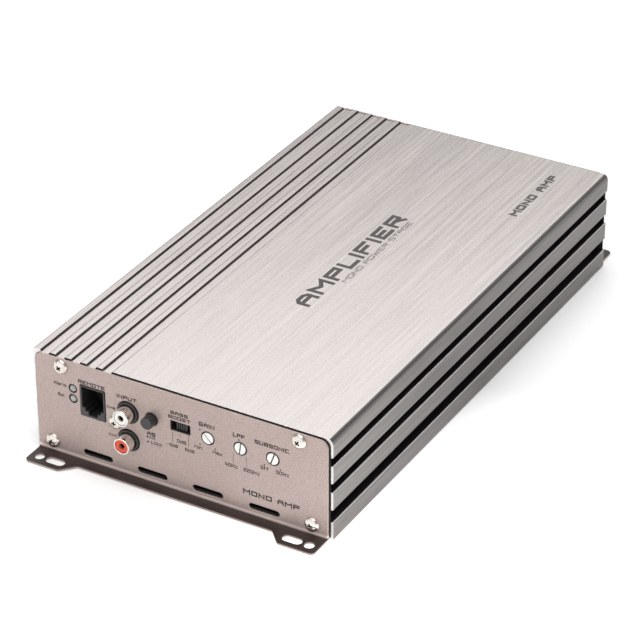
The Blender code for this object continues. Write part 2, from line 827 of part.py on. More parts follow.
def make_power_electronics():
    toroid("power_transformer", (-0.034, 0.045), 0.023, 0.009, 0.020)
    toroid("output_filter_coil", (0.036, -0.015), 0.015, 0.006, 0.015)
    height, radius = 0.030, 0.009
    centres = ((0.014, 0.050), (0.038, 0.050), (0.014, 0.078), (0.038, 0.078))
    for index, centre in enumerate(centres, 1):
        profile = [
            (0, height),
            (radius - 0.0012, height),
            (radius, height - 0.0010),
            (radius, 0.0045),
            (radius - 0.0006, 0.0038),
            (radius, 0.0031),
            (radius, 0.0006),
            (radius - 0.0006, 0),
            (0, 0),
        ]
        location = (*centre, BOARD[1] + CLEARANCE)
        turned(f"reservoir_capacitor_{index}", "capacitor", profile, location, steps=20)
    outside = WALL_INSIDE - CLEARANCE
    package_thick, half_width = 0.005, 0.008
    bar_outside = outside - package_thick - CLEARANCE
    for sign, side in ((-1, "left"), (1, "right")):
        bar_x = sorted((sign * bar_outside, sign * (bar_outside - 0.003)))
        box(
            f"clamp_bar_{side}",
            "steel",
            (bar_x[0], -0.045, 0.0210),
            (bar_x[1], 0.045, 0.0290),
        )
        package_x = sorted((sign * outside, sign * (outside - package_thick)))
        for index, y in enumerate((-0.025, 0.025), 1):
            box(
                f"transistor_{side}_{index}",
                "semiconductor",
                (package_x[0], y - half_width, 0.0140),
                (package_x[1], y + half_width, 0.0350),
            )


make_housing()
make_end_plate("front_plate", -1, front_openings())
make_end_plate("rear_plate", 1, rear_openings())
make_plate_screws()
make_bottom_cover()
make_boards()
make_leds()
make_remote_socket()
make_rca_inputs()
make_as_switch()
make_bass_switch()
make_pots()
make_terminals()
make_fuses()
make_power_electronics()
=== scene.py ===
"""Looks of the car amplifier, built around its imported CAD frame.

Lengths are in millimetres until a mesh is made, and then in metres. The control panel faces -Y,
the terminals face +Y, and the mounting flanges stand on Z = 0.
"""

import json
import math

import bmesh
import bpy
from mathutils import Matrix, Vector

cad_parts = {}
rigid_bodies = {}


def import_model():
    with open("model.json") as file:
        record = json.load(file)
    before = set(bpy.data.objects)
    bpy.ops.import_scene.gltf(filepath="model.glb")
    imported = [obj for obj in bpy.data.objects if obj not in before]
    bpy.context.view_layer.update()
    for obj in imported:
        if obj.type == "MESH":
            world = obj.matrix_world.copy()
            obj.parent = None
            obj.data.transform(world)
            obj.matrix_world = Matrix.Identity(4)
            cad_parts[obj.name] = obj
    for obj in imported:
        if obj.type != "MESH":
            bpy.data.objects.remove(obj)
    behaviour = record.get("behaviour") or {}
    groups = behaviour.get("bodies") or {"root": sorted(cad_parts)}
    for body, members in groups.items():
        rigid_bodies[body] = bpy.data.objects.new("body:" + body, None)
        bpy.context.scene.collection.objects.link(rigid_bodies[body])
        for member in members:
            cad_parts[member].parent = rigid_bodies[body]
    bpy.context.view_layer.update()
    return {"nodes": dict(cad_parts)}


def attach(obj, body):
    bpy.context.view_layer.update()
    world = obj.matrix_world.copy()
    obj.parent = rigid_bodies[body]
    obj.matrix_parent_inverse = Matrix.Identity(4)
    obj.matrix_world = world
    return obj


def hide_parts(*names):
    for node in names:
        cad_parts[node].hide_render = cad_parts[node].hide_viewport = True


MM = 0.001

# Housing extrusion
HALF_WIDTH = 80.0
TOP = 54.0
FOOT = 0.4
HALF_LENGTH = 143.2
WALL_INSIDE = 72.0
ROOF_UNDERSIDE = 50.0
GROOVE_FLOOR = 75.0
FIN_GROOVES = ((10.0, 16.5), (26.0, 30.7), (40.0, 44.4))
RIB_FEET = [-75.3 + 8.62 * rib for rib in range(5)]
RIB_VALLEY = 4.1
RIB_LOW = 52.9
RIB_SLOPES = (0.7, 1.2)
# Radii of the screw channels
TOP_BOSS = 3.3
FOOT_BOSS = 2.6
BOSS_BORE = 2.0
# The two faces of each near-black sheet of painted shade behind an end plate, from the middle
GAP_SHADE_SHEET = (143.28, 143.52)

# End plates
SHEET = 1.2
PLATE_HALF_WIDTH = 78.3
PLATE_TOP = 53.3
PLATE_OUTER = 144.8
PLATE_MIDDLE = PLATE_OUTER - SHEET / 2
BEND_RADIUS = 1.4
BEND_LENGTH = BEND_RADIUS * math.pi / 2
FLANGE_START = PLATE_MIDDLE + BEND_RADIUS
FLANGE_HEIGHT = SHEET / 2
VERTICAL_START = FLANGE_HEIGHT + BEND_RADIUS
FLANGE_HALF_WIDTH = 78.0
FLANGE_EDGE = 150.9
TAB_EDGE = 158.0
TAB_INNER = 59.3
TAB_SHOULDER = 52.7
TAB_ROW = 152.4
TAB_HOLE_X = 73.0
TAB_HOLE_RADIUS = 2.4
TAB_SLOT_X = 64.1
TAB_SLOT_HALF_LENGTH = 5.0
VENTS = (-45.0, -15.0, 15.0, 45.0)
VENT_HEIGHT = 5.9
VENT_HALF_SIZE = (8.1, 1.6)
SCREW_HOLE = 2.5
# Clearance between an opening and the part in it
GAP = 0.3
PLATE_SCREWS = ((-63.6, 49.2), (63.6, 49.2), (-70.0, 6.8), (70.0, 6.8))
# Head radius, head height, shank radius and length
PLATE_SCREW_SIZE = (3.8, 2.2, 1.9, 8.0)
RCA_SCREW_SIZE = (3.5, 1.8, 1.4, 7.0)
COVER_SCREW_SIZE = (2.4, 1.3, 1.15, 5.5)
COVER_SCREW_SEAT = 2.55
COVER_SCREWS = ((-69.6, -110.0), (69.6, -110.0), (-69.6, 110.0), (69.6, 110.0))

# Controls
LAMP_RADIUS = 1.85
BUTTON_RADIUS = 3.05
TRIMMER_RADIUS = 2.9
SLIDER_WIDTH = 5.8
CONTACT_PITCH = 1.25
# Their places on the panel, in x and z
LEDS = {"alarm": (-57.5, 39.15), "run": (-57.5, 33.65)}
SOCKET = (-53.3, -39.9, 26.4, 42.6)
SOCKET_X = -46.6
SOCKET_STEPS = ((5.95, 30.75), (4.25, 29.0), (2.5, 27.1))
SOCKET_MOUTH_TOP = 41.9
RCA_X = -27.3
RCA_HEIGHTS = {"upper": 35.6, "lower": 20.5}
RCA_SCREW = (-34.4, 28.0)
AS_BUTTON = (-14.5, 36.0)
BASS_WINDOW = (-4.4, 6.3, 33.5, 38.85)
POTS = {"gain": (15.7, -43.5), "lpf": (32.8, 7.8), "subsonic": (49.8, 20.1)}
POT_HEIGHT = 35.3

# Connections on the rear plate
TERMINAL_HEIGHTS = (11.6, 31.6)
TERMINAL_DEPTHS = (131.0, 157.0)
ENTRY_HEIGHT = 18.4
ENTRY_DEPTH = 16.0
CLAMP_SCREW_Y = 151.2
TERMINALS = {
    "power": ((20.5, 65.5), ((28.5, 9.0), (43.0, 6.6), (57.5, 9.0))),
    "speaker": ((-62.5, -29.5), ((-38.0, 8.0), (-54.0, 8.0))),
}
FUSE_HOLDER = (-15.0, 15.0, 11.6, 35.6)
FUSE_HOLDER_DEPTHS = (134.0, 151.5)
FUSE_CENTRES = (-9.4, 0.0, 9.4)
FUSE_SIZE = (5.0, 9.7, 19.0)
FUSE_BACK = 157.0
FUSE_BLADE_OFFSET = 6.8
FUSE_WINDOW_OFFSET = 5.6

# Letters and digits drawn as strokes. Each point is two digits, across and up, from 0 to 4.
# A path that ends where it starts is a closed ring.
STROKES = {
    "A": ("00 03 14 34 43 40", "02 42"),
    "B": ("00 04 44 40 00", "02 42"),
    "C": ("44 04 00 40",),
    "D": ("00 04 34 42 30 00",),
    "E": ("44 04 00 40", "02 32"),
    "F": ("44 04 00", "02 32"),
    "G": ("44 04 00 40 42 22",),
    "H": ("00 04", "40 44", "02 42"),
    "I": ("00 04",),
    "K": ("00 04", "44 12 40"),
    "L": ("04 00 40",),
    "M": ("00 04 22 44 40",),
    "N": ("00 04 40 44",),
    "O": ("00 04 44 40 00",),
    "P": ("00 04", "04 44 42 02"),
    "R": ("00 04", "04 44 42 02", "22 40"),
    "S": ("44 04 02 42 40 00",),
    "T": ("04 44", "24 20"),
    "U": ("04 00 40 44",),
    "W": ("04 10 23 30 44",),
    "a": ("03 43 40", "40 00 02 42"),
    "d": ("44 40", "43 03 00 40"),
    "f": ("10 14 44", "02 32"),
    "i": ("00 03",),
    "l": ("04 00",),
    "m": ("00 03 43 40", "23 20"),
    "n": ("00 03 43 40",),
    "r": ("00 03 43",),
    "u": ("03 00 40 43",),
    "x": ("00 43", "03 40"),
    "z": ("03 43 00 40",),
    "0": ("00 04 44 40 00",),
    "1": ("04 14 10",),
    "2": ("04 44 42 02 00 40",),
    "3": ("04 44 40 00", "12 42"),
    "4": ("04 01 41", "34 30"),
    "5": ("44 04 02 42 40 00",),
    "6": ("44 04 00", "00 40 42 02"),
    "+": ("02 42", "24 20"),
    "-": ("02 42",),
}
NARROW = {"I": 0.01, "i": 0.01, "l": 0.01, "1": 0.5, "L": 0.85, "m": 1.2, "M": 1.2, "W": 1.3, " ": 0.45}

# Lettering on the panel: text and the box that it fills, as left, right, low, high
PANEL_TEXT = (
    ("REMOTE", -54.3, -39.5, 43.45, 45.45),
    ("INPUT", -33.1, -22.3, 42.15, 44.15),
    ("CH2", -38.8, -34.1, 34.8, 36.1),
    ("CH1", -38.2, -33.6, 19.9, 21.2),
    ("AS", -17.1, -12.6, 26.75, 28.85),
    ("HI", -15.9, -12.9, 25.1, 26.5),
    ("LOW", -15.0, -9.0, 22.6, 24.1),
    ("BASS", -4.0, 5.3, 42.45, 44.25),
    ("BOOST", -5.3, 6.6, 40.05, 41.85),
    ("-6dB", -6.2, -0.4, 24.65, 26.35),
    ("0dB", -0.9, 4.1, 27.95, 29.75),
    ("6dB", 3.3, 8.4, 24.65, 26.35),
    ("GAIN", 11.1, 19.5, 40.85, 43.05),
    ("Min", 8.5, 12.6, 28.05, 29.75),
    ("Max", 18.2, 23.4, 28.05, 29.75),
    ("LPF", 29.1, 35.4, 40.95, 43.05),
    ("SUBSONIC", 40.5, 58.4, 40.85, 42.95),
    ("40Hz", 24.7, 31.4, 23.85, 25.75),
    ("220Hz", 34.4, 43.0, 23.85, 25.75),
    ("Off", 43.5, 47.7, 28.05, 29.95),
    ("50Hz", 51.5, 58.3, 28.05, 29.95),
    ("Alarm", -68.0, -61.0, 38.75, 40.45),
    ("Run", -66.0, -62.4, 33.05, 34.75),
    ("MONO AMP", 34.0, 63.5, 11.75, 14.45),
)
PANEL_LINES = (
    ((-3.2, 33.0), (-3.2, 27.2)),
    ((0.9, 33.0), (0.9, 30.9)),
    ((5.4, 33.0), (5.4, 27.4)),
    ((29.18, 31.57), (28.92, 26.5)),
    ((35.75, 31.86), (36.35, 26.7)),
)
PANEL_DOTS = (
    (11.65, 38.83),
    (11.44, 30.84),
    (19.58, 30.72),
    (32.36, 39.81),
    (45.47, 30.8),
    (53.84, 30.8),
)
# Lettering on top reads along +Y: text, letter foot and letter head in x, start and end in y,
# and the width of its stroke
TOP_TEXT = (
    ("AMPLIFIER", 13.0, 4.2, -48.5, 51.0, 2.2),
    ("MONO POWER STAGE", 17.2, 14.4, -19.6, 48.6, 0.42),
    ("MONO AMP", 59.0, 54.4, 80.0, 128.0, 1.3),
)
# Words over the terminals: text, and the box that it fills on the rear plate
TERMINAL_TEXT = (
    ("+", 27.2, 29.8, 34.0, 36.6),
    ("REM", 38.9, 47.1, 34.2, 36.4),
    ("GND", 53.4, 61.6, 34.2, 36.4),
    ("POWER", 33.0, 53.0, 39.0, 41.4),
    ("FUSE", -6.2, 6.2, 38.2, 40.4),
    ("+", -39.3, -36.7, 34.0, 36.6),
    ("-", -55.2, -52.8, 34.0, 36.6),
    ("SPEAKER", -57.5, -34.5, 39.0, 41.4),
)
# Space between letters, as a share of a letter's width
LETTER_GAP = 0.22
# Heights of ink over its surface, and the step between strokes that cross
INK_FOOT = -0.05
INK_TOP = 0.02
INK_STEP = 0.005

# From here on, metres. Between these x the roof's metal turns to its painted edge shade.
ROOF_EDGE_SHADE_SPAN = (0.0773, 0.0792)
# The floor's painted glow where a light card would lie and away from it, and how far that painted pool
# of light reaches
FLOOR_POOL_CENTRE = (0.14, -0.13, 0.0)
FLOOR_GLOW = (1.15, 0.1)
FLOOR_POOL_REACH = 0.15
# Brightness of the surroundings by the height of the direction
SKY = ((0.0, 1.0), (0.10, 0.95), (0.26, 0.32), (0.75, 0.36), (1.0, 0.6))
# Name, place, target, size and watts
LIGHTS = (
    ("top_softbox", (0.2, -0.2, 2.3), (0, 0, 0), (2.0, 2.0), 38),
    ("back_softbox", (-0.83, 1.40, 1.50), (0, -0.05, 0.05), (1.6, 0.9), 9.7),
    ("front_softbox", (-0.4, -2.5, 1.35), (0, -0.1, 0.03), (5.0, 2.4), 30),
)
CAMERA_PLACE = (0.6120, -1.0838, 0.7613)
CAMERA_TARGET = (-0.0104, 0.0032, 0.0132)
CAMERA_ROLL = -0.08
CAMERA_LENS = 164.9

for startup_object in list(bpy.data.objects):
    bpy.data.objects.remove(startup_object, do_unlink=True)
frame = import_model()
NODES = frame["nodes"]


# ---- Materials ----


def add_node(tree, kind, values=None, **settings):
    """A new shader node. Its input values may be numbers, tuples or sockets to link."""
    node = tree.nodes.new(kind)
    for name, value in settings.items():
        setattr(node, name, value)
    for name, value in (values or {}).items():
        if isinstance(value, bpy.types.NodeSocket):
            tree.links.new(value, node.inputs[name])
        else:
            node.inputs[name].default_value = value
    return node


def object_coordinates(tree, scale=(1, 1, 1)):
    source = add_node(tree, "ShaderNodeTexCoord").outputs["Object"]
    values = {"Vector": source, "Scale": scale}
    return add_node(tree, "ShaderNodeMapping", values).outputs["Vector"]


def place_along(tree, axis):
    """The X, Y or Z of each point, in metres."""
    place = add_node(tree, "ShaderNodeTexCoord").outputs["Object"]
    return add_node(tree, "ShaderNodeSeparateXYZ", {"Vector": place}).outputs[axis]


def noise(tree, scale, detail=3, roughness=0.5):
    """Noise with this many cycles a metre, either one number or one for each axis."""
    if not isinstance(scale, tuple):
        scale = (scale, scale, scale)
    vector = object_coordinates(tree, scale)
    values = {"Vector": vector, "Scale": 1.0, "Detail": detail, "Roughness": roughness}
    return add_node(tree, "ShaderNodeTexNoise", values).outputs["Fac"]


def spread(tree, value, low, high, start=0.3, end=0.7):
    """The value from start to end stretched over low to high."""
    values = {0: value, 1: start, 2: end, 3: low, 4: high}
    return add_node(tree, "ShaderNodeMapRange", values).outputs[0]


def calculate(tree, operation, first, second, third=0.0):
    values = {0: first, 1: second, 2: third}
    return add_node(tree, "ShaderNodeMath", values, operation=operation).outputs[0]


def mix_colours(tree, factor, first, second):
    node = add_node(tree, "ShaderNodeMix", data_type="RGBA")
    for index, value in ((0, factor), (6, first), (7, second)):
        if isinstance(value, bpy.types.NodeSocket):
            tree.links.new(value, node.inputs[index])
        else:
            node.inputs[index].default_value = (*value, 1) if index else value
    return node.outputs[2]


def tinted(tree, colour, tint, value, *limits):
    """The colour with a tint laid over it where the value, spread between limits, says."""
    return mix_colours(tree, spread(tree, value, *limits), colour, tint)


def bump(tree, height, strength, distance, normal=None):
    values = {"Height": height, "Strength": strength, "Distance": distance}
    if normal:
        values["Normal"] = normal
    return add_node(tree, "ShaderNodeBump", values).outputs["Normal"]


def new_material(name, sockets):
    """(material, tree, shader) with these constants on the shader's own sockets."""
    material = bpy.data.materials.new(name)
    material.use_nodes = True
    tree = material.node_tree
    shader = tree.nodes["Principled BSDF"]
    for socket, value in sockets.items():
        shader.inputs[socket].default_value = value
    return material, tree, shader


def connect(tree, shader, colour, roughness, normal):
    tree.links.new(colour, shader.inputs["Base Color"])
    tree.links.new(roughness, shader.inputs["Roughness"])
    tree.links.new(normal, shader.inputs["Normal"])


def brushed_metal(name, dark, light, roughness, edge=None):
    """Aluminium brushed along Y, with fine streaks, longer ones and a fine grain. Where an edge
    colour is given, the metal turns to it over the rounded right-hand edge of the roof: painted
    shade, as that edge turns away from the light."""
    sockets = {"Metallic": 1.0, "Anisotropic": 0.5, "Coat Weight": 0.05}
    material, tree, shader = new_material(name, sockets)
    fine = noise(tree, (2600, 34, 2600), 3, 0.55)
    long = noise(tree, (1050, 7, 1050), 2)
    grain = noise(tree, (3400, 2400, 3400), 2, 0.6)
    patches = noise(tree, (18, 7, 18), 2)
    streaks = calculate(tree, "MULTIPLY", fine, 0.42)
    streaks = calculate(tree, "MULTIPLY_ADD", long, 0.36, streaks)
    streaks = calculate(tree, "MULTIPLY_ADD", grain, 0.22, streaks)
    colour = tinted(tree, dark, light, streaks, 0.0, 1.0, 0.38, 0.62)
    colour = tinted(tree, colour, tuple(0.8 * c for c in dark), patches, 0.0, 0.06)
    # Painted shade over the rounded right-hand edge of the roof
    if edge:
        colour = tinted(tree, colour, edge, place_along(tree, "X"), 0.0, 0.9, *ROOF_EDGE_SHADE_SPAN)
    rough = spread(tree, streaks, *roughness)
    connect(tree, shader, colour, rough, bump(tree, streaks, 0.12, 0.00006))
    tangent = add_node(tree, "ShaderNodeTangent", direction_type="UV_MAP", uv_map="grain")
    tree.links.new(tangent.outputs[0], shader.inputs["Tangent"])
    return material


def sprayed_metal(name, base, fleck, shade, roughness, metallic, foot=None):
    """Metallic paint with fine flecks and a faint leathery surface. Where a foot colour is given,
    a painted highlight lies along the bend at the plate's foot, and the flange under it turns to
    that colour: painted shade under the plate."""
    sockets = {"Metallic": metallic, "Coat Weight": 0.12, "Coat Roughness": 0.35}
    material, tree, shader = new_material(name, sockets)
    flecks = noise(tree, 2100, 3, 0.75)
    skin = noise(tree, 1300, 3, 0.6)
    patches = noise(tree, 26)
    colour = tinted(tree, base, fleck, flecks, 0.0, 0.75, 0.46, 0.70)
    colour = tinted(tree, colour, shade, skin, 0.40, 0.0, 0.3, 0.52)
    colour = tinted(tree, colour, shade, patches, 0.0, 0.14)
    if foot:
        # Painted highlight: a lighter band along the bend, by height
        height = place_along(tree, "Z")
        above = spread(tree, height, 0.0, 1.0, 0.0017, 0.0021)
        below = spread(tree, height, 1.0, 0.0, 0.0028, 0.0036)
        glint = calculate(tree, "MULTIPLY", above, below)
        colour = mix_colours(tree, glint, colour, tuple(min(1.0, 1.25 * c) for c in fleck))
        # Painted shade: the flange under the plate turns to the foot colour
        above = spread(tree, height, 0.25, 1.0, 0.0009, 0.0011)
        below = spread(tree, height, 1.0, 0.0, 0.0014, 0.0018)
        colour = mix_colours(tree, calculate(tree, "MULTIPLY", below, above), colour, foot)
    rough = spread(tree, flecks, *roughness)
    normal = bump(tree, flecks, 0.18, 0.00003, bump(tree, skin, 0.35, 0.00008))
    connect(tree, shader, colour, rough, normal)
    return material


def moulded_plastic(name, base, second, roughness, sockets=None, grain=2600, depth=0.12):
    """Plastic with a slight moulded texture and a slow change of colour."""
    constants = {"Metallic": 0.0, "IOR": 1.5, **(sockets or {})}
    material, tree, shader = new_material(name, constants)
    skin = noise(tree, grain, 3, 0.6)
    patches = noise(tree, 90, 3, 0.55)
    colour = tinted(tree, base, second, patches, 0.0, 0.6)
    colour = tinted(tree, colour, second, skin, 0.0, 0.25)
    rough = spread(tree, skin, *roughness)
    connect(tree, shader, colour, rough, bump(tree, skin, depth, 0.00005))
    return material


def plated_metal(name, base, tint, roughness):
    """Plated or bare metal with faint cloudiness and fine scratches."""
    material, tree, shader = new_material(name, {"Metallic": 1.0})
    cloud = noise(tree, 700, 3, 0.6)
    scratches = noise(tree, (4200, 300, 4200), 3, 0.65)
    colour = tinted(tree, base, tint, cloud, 0.0, 0.7)
    cloud_share = calculate(tree, "MULTIPLY", cloud, 0.6)
    mixed = calculate(tree, "MULTIPLY_ADD", scratches, 0.4, cloud_share)
    rough = spread(tree, mixed, *roughness)
    connect(tree, shader, colour, rough, bump(tree, scratches, 0.10, 0.00003))
    return material


def circuit_board(name):
    """Green solder mask with a faint pattern of tracks under it."""
    sockets = {"Metallic": 0.0, "Coat Weight": 0.5, "Coat Roughness": 0.15}
    material, tree, shader = new_material(name, sockets)
    vector = object_coordinates(tree, (260, 260, 260))
    tracks = add_node(tree, "ShaderNodeTexBrick", {"Vector": vector, "Scale": 1.0})
    weave = noise(tree, 1800, 2)
    greens = ((0.015, 0.12, 0.05), (0.03, 0.2, 0.09))
    colour = tinted(tree, *greens, tracks.outputs["Fac"], 0.0, 0.6, 0.2, 0.8)
    colour = tinted(tree, colour, (0.01, 0.07, 0.03), weave, 0.0, 0.3)
    rough = spread(tree, weave, 0.35, 0.55)
    connect(tree, shader, colour, rough, bump(tree, weave, 0.2, 0.00005))
    return material


def enamelled_wire(name):
    """Copper turns side by side under a clear varnish."""
    sockets = {"Metallic": 0.8, "Coat Weight": 0.6, "Coat Roughness": 0.12}
    material, tree, shader = new_material(name, sockets)
    vector = object_coordinates(tree)
    values = {"Vector": vector, "Scale": 180.0, "Distortion": 0.6, "Detail": 2.0}
    bands = {"wave_type": "BANDS", "bands_direction": "DIAGONAL"}
    turns = add_node(tree, "ShaderNodeTexWave", values, **bands).outputs["Fac"]
    colour = mix_colours(tree, turns, (0.20, 0.06, 0.02), (0.62, 0.26, 0.10))
    rough = spread(tree, turns, 0.5, 0.3, 0.0, 1.0)
    connect(tree, shader, colour, rough, bump(tree, turns, 0.7, 0.0004))
    return material


def printed_ink(name, base, second):
    material, tree, shader = new_material(name, {"Metallic": 0.0, "IOR": 1.45})
    mottling = noise(tree, 3600, 2, 0.6)
    colour = tinted(tree, base, second, mottling, 0.0, 1.0)
    rough = spread(tree, mottling, 0.42, 0.6)
    connect(tree, shader, colour, rough, bump(tree, mottling, 0.15, 0.00002))
    return material


def floor_material():
    """A white floor that glows a little everywhere, and with a painted pool of light, brightest
    where a light card would lie beside the near end of the fins."""
    sockets = {"Metallic": 0.0, "IOR": 1.35, "Emission Color": (1, 1, 1, 1)}
    material, tree, shader = new_material("studio_floor", sockets)
    grain = noise(tree, 9)
    colour = tinted(tree, (0.90, 0.90, 0.90), (0.92, 0.92, 0.92), grain, 0.0, 1.0)
    place = add_node(tree, "ShaderNodeTexCoord").outputs["Object"]
    # Painted pool of light, brightest at its centre beside the fins
    values = {0: place, 1: FLOOR_POOL_CENTRE}
    away = add_node(tree, "ShaderNodeVectorMath", values, operation="DISTANCE").outputs["Value"]
    glow = spread(tree, away, *FLOOR_GLOW, 0.0, FLOOR_POOL_REACH)
    tree.links.new(glow, shader.inputs["Emission Strength"])
    rough = spread(tree, grain, 0.75, 0.85)
    connect(tree, shader, colour, rough, bump(tree, grain, 0.02, 0.0002))
    return material


# Each material's name, its two or three colours and its range of roughness
BRUSHED_METALS = {
    # Painted shade: a darker copy of the housing's aluminium for the fins' outer faces
    "fin": ("fin_aluminium_painted_shade", (0.104, 0.097, 0.093), (0.250, 0.234, 0.225), (0.28, 0.42)),
    # Painted shade: a darker copy of the housing's aluminium for the ribs' walls that face +X
    "rib_wall": ("rib_wall_aluminium_painted_shade", (0.070, 0.060, 0.057), (0.130, 0.114, 0.110), (0.4, 0.5)),
    # Painted shade: a darker copy of the housing's aluminium for the grooves between the fins
    "groove": ("groove_aluminium_painted_shade", (0.060, 0.052, 0.054), (0.105, 0.093, 0.095), (0.42, 0.55)),
}
PLATED_METALS = {
    # Bright sawn metal for the housing's cut ends, also used as a painted highlight on the fins' upper
    # edges
    "housing_end_and_fin_highlight": ("sawn_ends_and_painted_fin_highlight", (0.86, 0.85, 0.84), (0.72, 0.71, 0.70), (0.45, 0.6)),
    "steel": ("nickelled_steel", (0.80, 0.755, 0.69), (0.66, 0.61, 0.55), (0.14, 0.26)),
    # Painted shade: darker brownish metal for screw recesses and for contacts down in holes
    "recess": ("recess_metal_painted_shade", (0.26, 0.18, 0.12), (0.15, 0.10, 0.07), (0.35, 0.5)),
    "nickel": ("bright_nickel", (0.86, 0.83, 0.78), (0.74, 0.69, 0.62), (0.10, 0.2)),
    "brass": ("brass_barrel", (0.80, 0.60, 0.26), (0.66, 0.46, 0.18), (0.18, 0.32)),
}
PLASTICS = {
    "black_plastic": ("black_moulding", (0.018, 0.018, 0.019), (0.034, 0.034, 0.035), (0.38, 0.55)),
    "grey_plastic": ("jack_moulding", (0.036, 0.038, 0.036), (0.062, 0.065, 0.062), (0.42, 0.58)),
    "red_plastic": ("red_moulding", (0.74, 0.075, 0.026), (0.56, 0.040, 0.016), (0.26, 0.4)),
    "button": ("button_moulding", (0.014, 0.014, 0.014), (0.028, 0.028, 0.028), (0.36, 0.5)),
    "button_face": ("button_face_moulding", (0.030, 0.031, 0.030), (0.048, 0.05, 0.048), (0.36, 0.5)),
    "capacitor": ("capacitor_sleeve", (0.02, 0.025, 0.06), (0.04, 0.045, 0.09), (0.25, 0.4)),
    "semiconductor": ("epoxy_package", (0.02, 0.02, 0.02), (0.035, 0.035, 0.035), (0.55, 0.7)),
    # Near-black for painted shade in gaps, holes and recesses
    "recess_shade": ("painted_recess_shade", (0.004, 0.004, 0.004), (0.009, 0.009, 0.009), (0.7, 0.85)),
}
WHITE_PLASTIC = ("white_moulding", (0.86, 0.855, 0.83), (0.78, 0.77, 0.74), (0.28, 0.42))
LENS_PLASTIC = ("smoky_lens", (0.47, 0.48, 0.45), (0.33, 0.34, 0.32), (0.05, 0.12))
LENS_SOCKETS = {"Transmission Weight": 0.2, "Coat Weight": 1.0, "Coat Roughness": 0.04}
FUSE_PLASTIC = ("amber_fuse_body", (0.86, 0.33, 0.05), (0.74, 0.24, 0.03), (0.16, 0.28))
FUSE_SOCKETS = {"Transmission Weight": 0.35, "Coat Weight": 0.3, "Coat Roughness": 0.1}
HOUSING_METAL = ("brushed_aluminium", (0.398, 0.367, 0.355), (0.542, 0.501, 0.485), (0.22, 0.34))
# Painted shade for the rounded right-hand edge of the roof
HOUSING_EDGE_SHADE = (0.19, 0.18, 0.175)
PLATE_PAINT = ("bronze_paint", (0.430, 0.334, 0.308), (0.740, 0.615, 0.575), (0.232, 0.172, 0.154))
# Painted shade for the flange under the plate
PLATE_FOOT_SHADE = (0.048, 0.033, 0.029)
COVER_PAINT = ("black_sheet", (0.030, 0.029, 0.030), (0.08, 0.08, 0.08), (0.015, 0.015, 0.015))
MATERIALS = {
    "housing": brushed_metal(*HOUSING_METAL, HOUSING_EDGE_SHADE),
    "plate": sprayed_metal(*PLATE_PAINT, (0.40, 0.55), 0.5, PLATE_FOOT_SHADE),
    "cover": sprayed_metal(*COVER_PAINT, (0.45, 0.6), 0.3),
    "white_plastic": moulded_plastic(*WHITE_PLASTIC, depth=0.06),
    "lens": moulded_plastic(*LENS_PLASTIC, LENS_SOCKETS, grain=900, depth=0.03),
    "board": circuit_board("green_board"),
    "fuse": moulded_plastic(*FUSE_PLASTIC, FUSE_SOCKETS, depth=0.05),
    "winding": enamelled_wire("enamelled_copper"),
    "ink": printed_ink("brown_print", (0.018, 0.011, 0.009), (0.034, 0.022, 0.018)),
    "top_ink": printed_ink("grey_print", (0.046, 0.042, 0.039), (0.072, 0.067, 0.063)),
}
MATERIALS |= {key: brushed_metal(*values) for key, values in BRUSHED_METALS.items()}
MATERIALS |= {key: plated_metal(*values) for key, values in PLATED_METALS.items()}
MATERIALS |= {key: moulded_plastic(*values) for key, values in PLASTICS.items()}


# ---- Outlines: lists of (u, v) points ----


def arc(centre, radius, start, end, steps=10):
    """Points along an arc, in degrees, both ends included."""
    angles = [math.radians(start + (end - start) * i / steps) for i in range(steps + 1)]
    return [(centre[0] + radius * math.cos(a), centre[1] + radius * math.sin(a)) for a in angles]


def circle(centre, radius, steps=48):
    return arc(centre, radius, 0, 360 - 360 / steps, steps - 1)


def rounded(corners, steps=5):
    """A polygon whose corners, given as (u, v, radius), are rounded."""
    points = []
    for index, (u, v, radius) in enumerate(corners):
        here = Vector((u, v))
        if not radius:
            points.append((u, v))
            continue
        before = (Vector(corners[index - 1][:2]) - here).normalized()
        after = (Vector(corners[(index + 1) % len(corners)][:2]) - here).normalized()
        half = before.angle(after) / 2
        centre = here + (before + after).normalized() * (radius / math.sin(half))
        reach = radius / math.tan(half)
        first = here + before * reach - centre
        last = here + after * reach - centre
        start = math.atan2(first.y, first.x)
        turn = (math.atan2(last.y, last.x) - start + math.pi) % (2 * math.pi) - math.pi
        angles = [start + turn * step / steps for step in range(steps + 1)]
        points += [(centre.x + radius * math.cos(a), centre.y + radius * math.sin(a)) for a in angles]
    return points


def rectangle(left, right, low, high, radius=0.0, steps=5):
    corners = ((left, low), (right, low), (right, high), (left, high))
    return rounded([(u, v, radius) for u, v in corners], steps)


def slot(centre, half_length, radius):
    """A slot with round ends, along u."""
    straight = half_length - radius
    right = arc((centre[0] + straight, centre[1]), radius, -90, 90, 12)
    left = arc((centre[0] - straight, centre[1]), radius, 90, 270, 12)
    return right + left


def mirrored(points):
    """The same outline on the other side of u = 0, run backwards."""
    return [(-point[0], *point[1:]) for point in reversed(points)]


def area(points):
    return sum(a[0] * b[1] - b[0] * a[1] for a, b in zip(points, points[1:] + points[:1])) / 2


def inset(points, distance):
    """The outline moved to its left by a distance, with mitred corners."""
    moved = []
    for index, point in enumerate(points):
        before = Vector(point) - Vector(points[index - 1])
        after = Vector(points[(index + 1) % len(points)]) - Vector(point)
        first = Vector((-before.y, before.x)).normalized()
        second = Vector((-after.y, after.x)).normalized()
        step = (first + second) * (distance / max(0.2, 1 + first.dot(second)))
        moved.append((point[0] + step.x, point[1] + step.y))
    return moved


def shrunk(outline, distance):
    """The outline moved inwards by a distance."""
    return inset(outline, distance if area(outline) > 0 else -distance)


# ---- Solids ----


